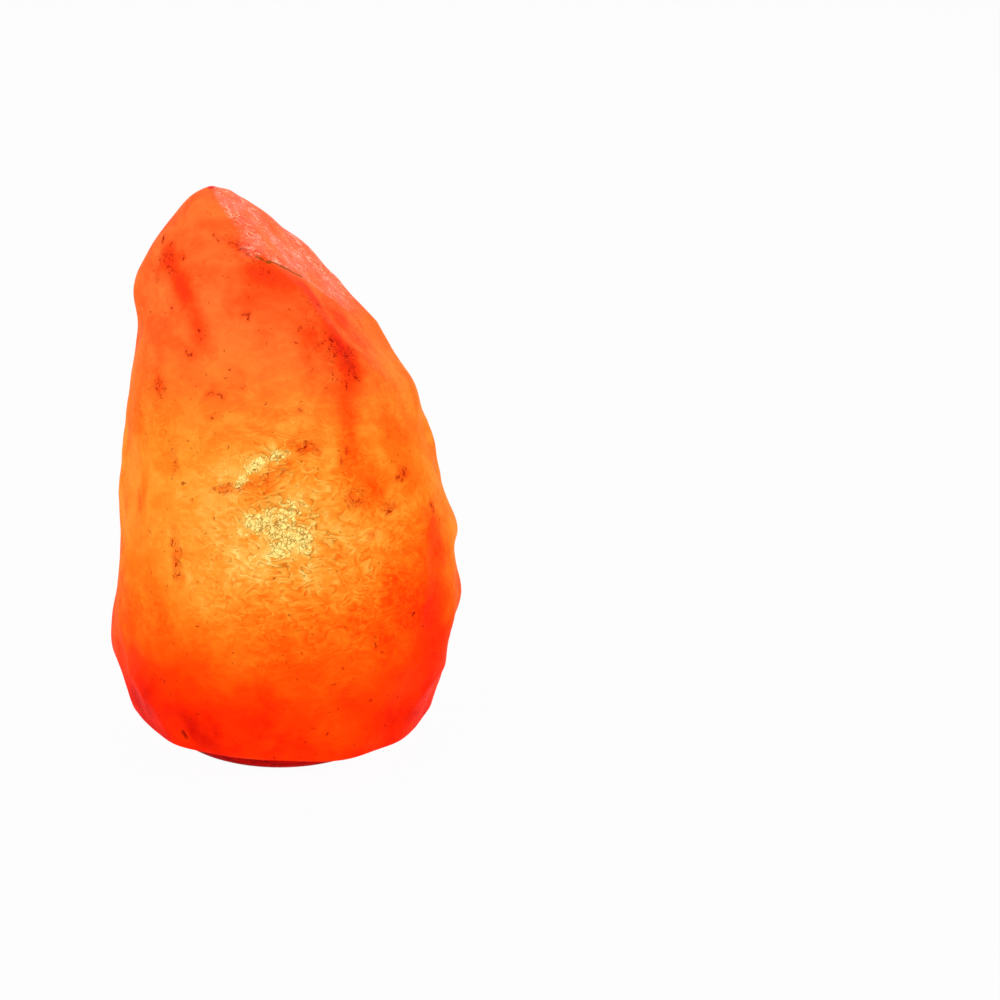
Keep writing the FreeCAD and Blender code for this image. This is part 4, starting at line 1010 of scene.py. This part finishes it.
def moulded_finish(name, colour, shade, gloss, texture=0.5):
    """Moulded plastic or glazed ceramic: faint clouding, fine texture and a few handling marks."""
    finish = Finish(name, Specular_IOR_Level=0.5)
    cloud = finish.noise(7, 3, 0.55)
    speck = finish.noise(0.35, 2, 0.6)
    scuff = finish.noise(2.4, 5, 0.7, 0.8, finish.stretched(1, 1, 0.3))
    base = finish.mix(cloud.span(0.3, 0.7), linear(*colour), linear(*shade))
    return finish.set(
        Base_Color=finish.mix(speck.span(0.64, 0.72, 0, 0.35), base, linear(*shade)),
        Roughness=scuff.span(0.45, 0.7, 0, 0.16) + gloss,
        Normal=finish.bump(cloud, 0.05, 0.25, finish.bump(speck, 0.02, texture)),
    )


def metal_finish(name, colour, tarnish, gloss, lines, tarnish_share):
    """Rolled or turned metal: fine lines along one direction, tarnish in soft patches."""
    finish = Finish(name, Metallic=1)
    line = finish.noise(0.3, 3, 0.6, 0, finish.stretched(*lines))
    pit = finish.noise(0.25, 2, 0.6)
    aged = finish.noise(3.5, 4, 0.6, 0.5).span(0.45, 0.72, 0, tarnish_share)
    base = finish.mix(aged, linear(*colour), linear(*tarnish))
    return finish.set(
        Base_Color=finish.mix(line.span(0.35, 0.65, 0, 0.22), base, linear(*tarnish)),
        Roughness=aged * 0.3 + line.span(0.3, 0.7, -0.06, 0.08) + gloss,
        Normal=finish.bump(pit, 0.02, 0.3, finish.bump(line, 0.015, 0.5)),
    )


def rubber_finish():
    """Black rubber: matt, faintly mottled, with dust in its fine grain."""
    finish = Finish("rubber_black", Specular_IOR_Level=0.3)
    cloud = finish.noise(4, 4, 0.6).span(0.3, 0.7)
    dust = finish.noise(0.4, 3, 0.7)
    base = finish.mix(cloud, linear(34, 33, 34), linear(48, 46, 46))
    return finish.set(
        Base_Color=finish.mix(dust.span(0.56, 0.75, 0, 0.4), base, linear(104, 96, 92)),
        Roughness=dust.span(0.3, 0.7, 0.62, 0.85),
        Normal=finish.bump(dust, 0.05, 0.6),
    )


def glass_finish():
    """Clear blown glass with the faintest waviness and a few dust specks."""
    finish = Finish("clear_glass", Transmission_Weight=1, IOR=1.5)
    wave = finish.noise(9)
    dust = finish.noise(0.5, 2, 0.6)
    return finish.set(
        Base_Color=finish.mix(wave.span(0.3, 0.7), (1, 1, 1, 1), (0.97, 0.98, 0.97, 1)),
        Roughness=dust.span(0.66, 0.76, 0, 0.12),
        Normal=finish.bump(wave, 0.04, 0.4),
    )


def black_glass_finish():
    """The fused black glass of the cap's end: swirled and glossy with small bubbles."""
    finish = Finish("black_glass", Specular_IOR_Level=0.6)
    swirl = finish.noise(2, 4, 0.6, 1.5)
    return finish.set(
        Base_Color=finish.mix(swirl.span(0.3, 0.7), linear(18, 18, 24), linear(46, 42, 56)),
        Roughness=swirl.span(0.3, 0.7, 0.08, 0.2),
        Normal=finish.bump(finish.cells(0.7).span(0.1, 0.3), 0.04, 0.5),
    )


def filament_finish():
    """Glowing tungsten wire, with fine drawn marks that glow paler."""
    finish = Finish("tungsten", Metallic=1, Roughness=0.4, Emission_Strength=5)
    drawn = finish.noise(0.2, 3, 0.6)
    return finish.set(
        Base_Color=finish.mix(drawn, linear(120, 120, 124), linear(90, 88, 90)),
        Emission_Color=finish.mix(drawn, linear(255, 176, 92), linear(255, 214, 150)),
        Normal=finish.bump(drawn, 0.01, 0.4),
    )


def dress(finish, *nodes):
    """Give CAD nodes a finish in place of their plain one."""
    for node in nodes:
        thing = frame["nodes"][node]
        if not thing.material_slots:
            thing.data.materials.append(finish)
        for material_slot in thing.material_slots:
            material_slot.material = finish


# -------- stage
FLOOR_HALF = 4.0
FLOOR_HEIGHT = -0.00005
FLOOR_COLOUR = (0.86, 0.86, 0.86, 1)
FLOOR_WHITENING = 0.97  # what is left to 1 shows the lamp's shadow
SKY_LIGHT = 0.15
LIGHT_SIZE = 1.0


def floor_finish():
    """Pale and matt, and nearly plain white where the camera sees it."""
    material = bpy.data.materials.new("floor")
    material.use_nodes = True
    nodes = Nodes(material.node_tree)
    nodes.tree.nodes.clear()
    matt = nodes.give("BsdfDiffuse", 0, {"Color": FLOOR_COLOUR})
    white = nodes.give("Emission", 0)
    inputs = {0: nodes.seen_plainly() * FLOOR_WHITENING, 1: matt, 2: white}
    output = nodes.tree.nodes.new("ShaderNodeOutputMaterial")
    nodes.feed(output.inputs["Surface"], nodes.give("MixShader", 0, inputs))
    return material


def floor():
    """A wide pale floor just under the lamp."""
    mesh = bpy.data.meshes.new("floor")
    sides = ((-1, -1), (1, -1), (1, 1), (-1, 1))
    corners = [(x * FLOOR_HALF, y * FLOOR_HALF, FLOOR_HEIGHT) for x, y in sides]
    mesh.from_pydata(corners, [], [(0, 1, 2, 3)])
    mesh.materials.append(floor_finish())
    in_scene("floor", mesh)


def world():
    """Even soft light from all round, and plain white where the camera sees past the floor."""
    surroundings = bpy.data.worlds.new("surroundings")
    bpy.context.scene.world = surroundings
    surroundings.use_nodes = True
    nodes = Nodes(surroundings.node_tree)
    background = nodes.tree.nodes["Background"]
    background.inputs["Color"].default_value = (1, 1, 1, 1)
    nodes.feed(background.inputs["Strength"], nodes.seen_plainly() * (1 - SKY_LIGHT) + SKY_LIGHT)


def soft_light(name, place, aim, power):
    """A square soft light at a place, turned towards what it lights."""
    light = bpy.data.lights.new(name, "AREA")
    light.size = LIGHT_SIZE
    light.energy = power
    thing = in_scene(name, light)
    way = unit(np.array(aim, float) - np.array(place, float))
    thing.location = place
    thing.rotation_euler = (math.acos(-way[2]), 0, math.atan2(-way[0], way[1]))


def camera():
    """A long lens about a metre off, 20 degrees above the lamp, with the lamp left of centre."""
    distance = 1.0
    elevation = math.radians(20)
    target = np.array([0, 0, 0.115])
    lens = bpy.data.cameras.new("camera")
    lens.lens = 90.0
    lens.sensor_width = 36.0
    lens.shift_x = 0.2205
    lens.shift_y = -0.038
    thing = in_scene("camera", lens)
    thing.location = target + distance * np.array([0, -math.cos(elevation), math.sin(elevation)])
    thing.rotation_euler = (math.pi / 2 - elevation, 0, 0)
    bpy.context.scene.camera = thing


# -------- the scene
bpy.context.scene.view_settings.view_transform = "Standard"
camera()
world()
floor()
soft_light("key_light", (-0.9, -1.1, 1.3), (0, 0, 0.1), 9)
soft_light("fill_light", (1.3, -0.7, 0.8), (0, 0, 0.1), 4)
soft_light("rear_light", (0.2, 1.3, 1.2), (0, 0, 0.12), 6)
rock()
dress(wood_finish(), "wooden_base")
dress(rubber_finish(), "rubber_pad", "cord_grommet")
dress(moulded_finish("nylon_grey", (206, 206, 202), (184, 184, 180), 0.42), "wall_plugs")
plastic = moulded_finish("holder_plastic", (236, 234, 226), (222, 219, 208), 0.3)
dress(plastic, "holder_cap", "holder_body")
dress(moulded_finish("core_ceramic", (232, 229, 219), (206, 201, 188), 0.45, 1), "holder_core")
zinc = metal_finish("zinc_steel", (206, 208, 212), (160, 160, 150), 0.3, TURNED, 0.5)
dress(zinc, "base_screws", "cord_nipple", "nipple_nuts", "terminal_screws")
spring = metal_finish("spring_steel", (176, 179, 184), (120, 116, 112), 0.28, ROLLED, 0.5)
dress(spring, "clip_plate", "clip_left", "clip_right")
brass = metal_finish("brass", (226, 186, 104), (160, 112, 52), 0.24, DRAWN, 0.6)
dress(brass, "live_terminal", "neutral_terminal", "centre_contact")
nickel = metal_finish("nickel", (214, 210, 200), (168, 160, 146), 0.2, TURNED, 0.4)
dress(nickel, "screw_shell", "bulb_cap", "lead_wires")
dress(metal_finish("solder", (186, 188, 194), (140, 142, 146), 0.34, EVEN, 0.8), "bulb_tip")
dress(black_glass_finish(), "bulb_insulator")
dress(glass_finish(), "bulb_glass", "bulb_stem")
dress(filament_finish(), "filament")
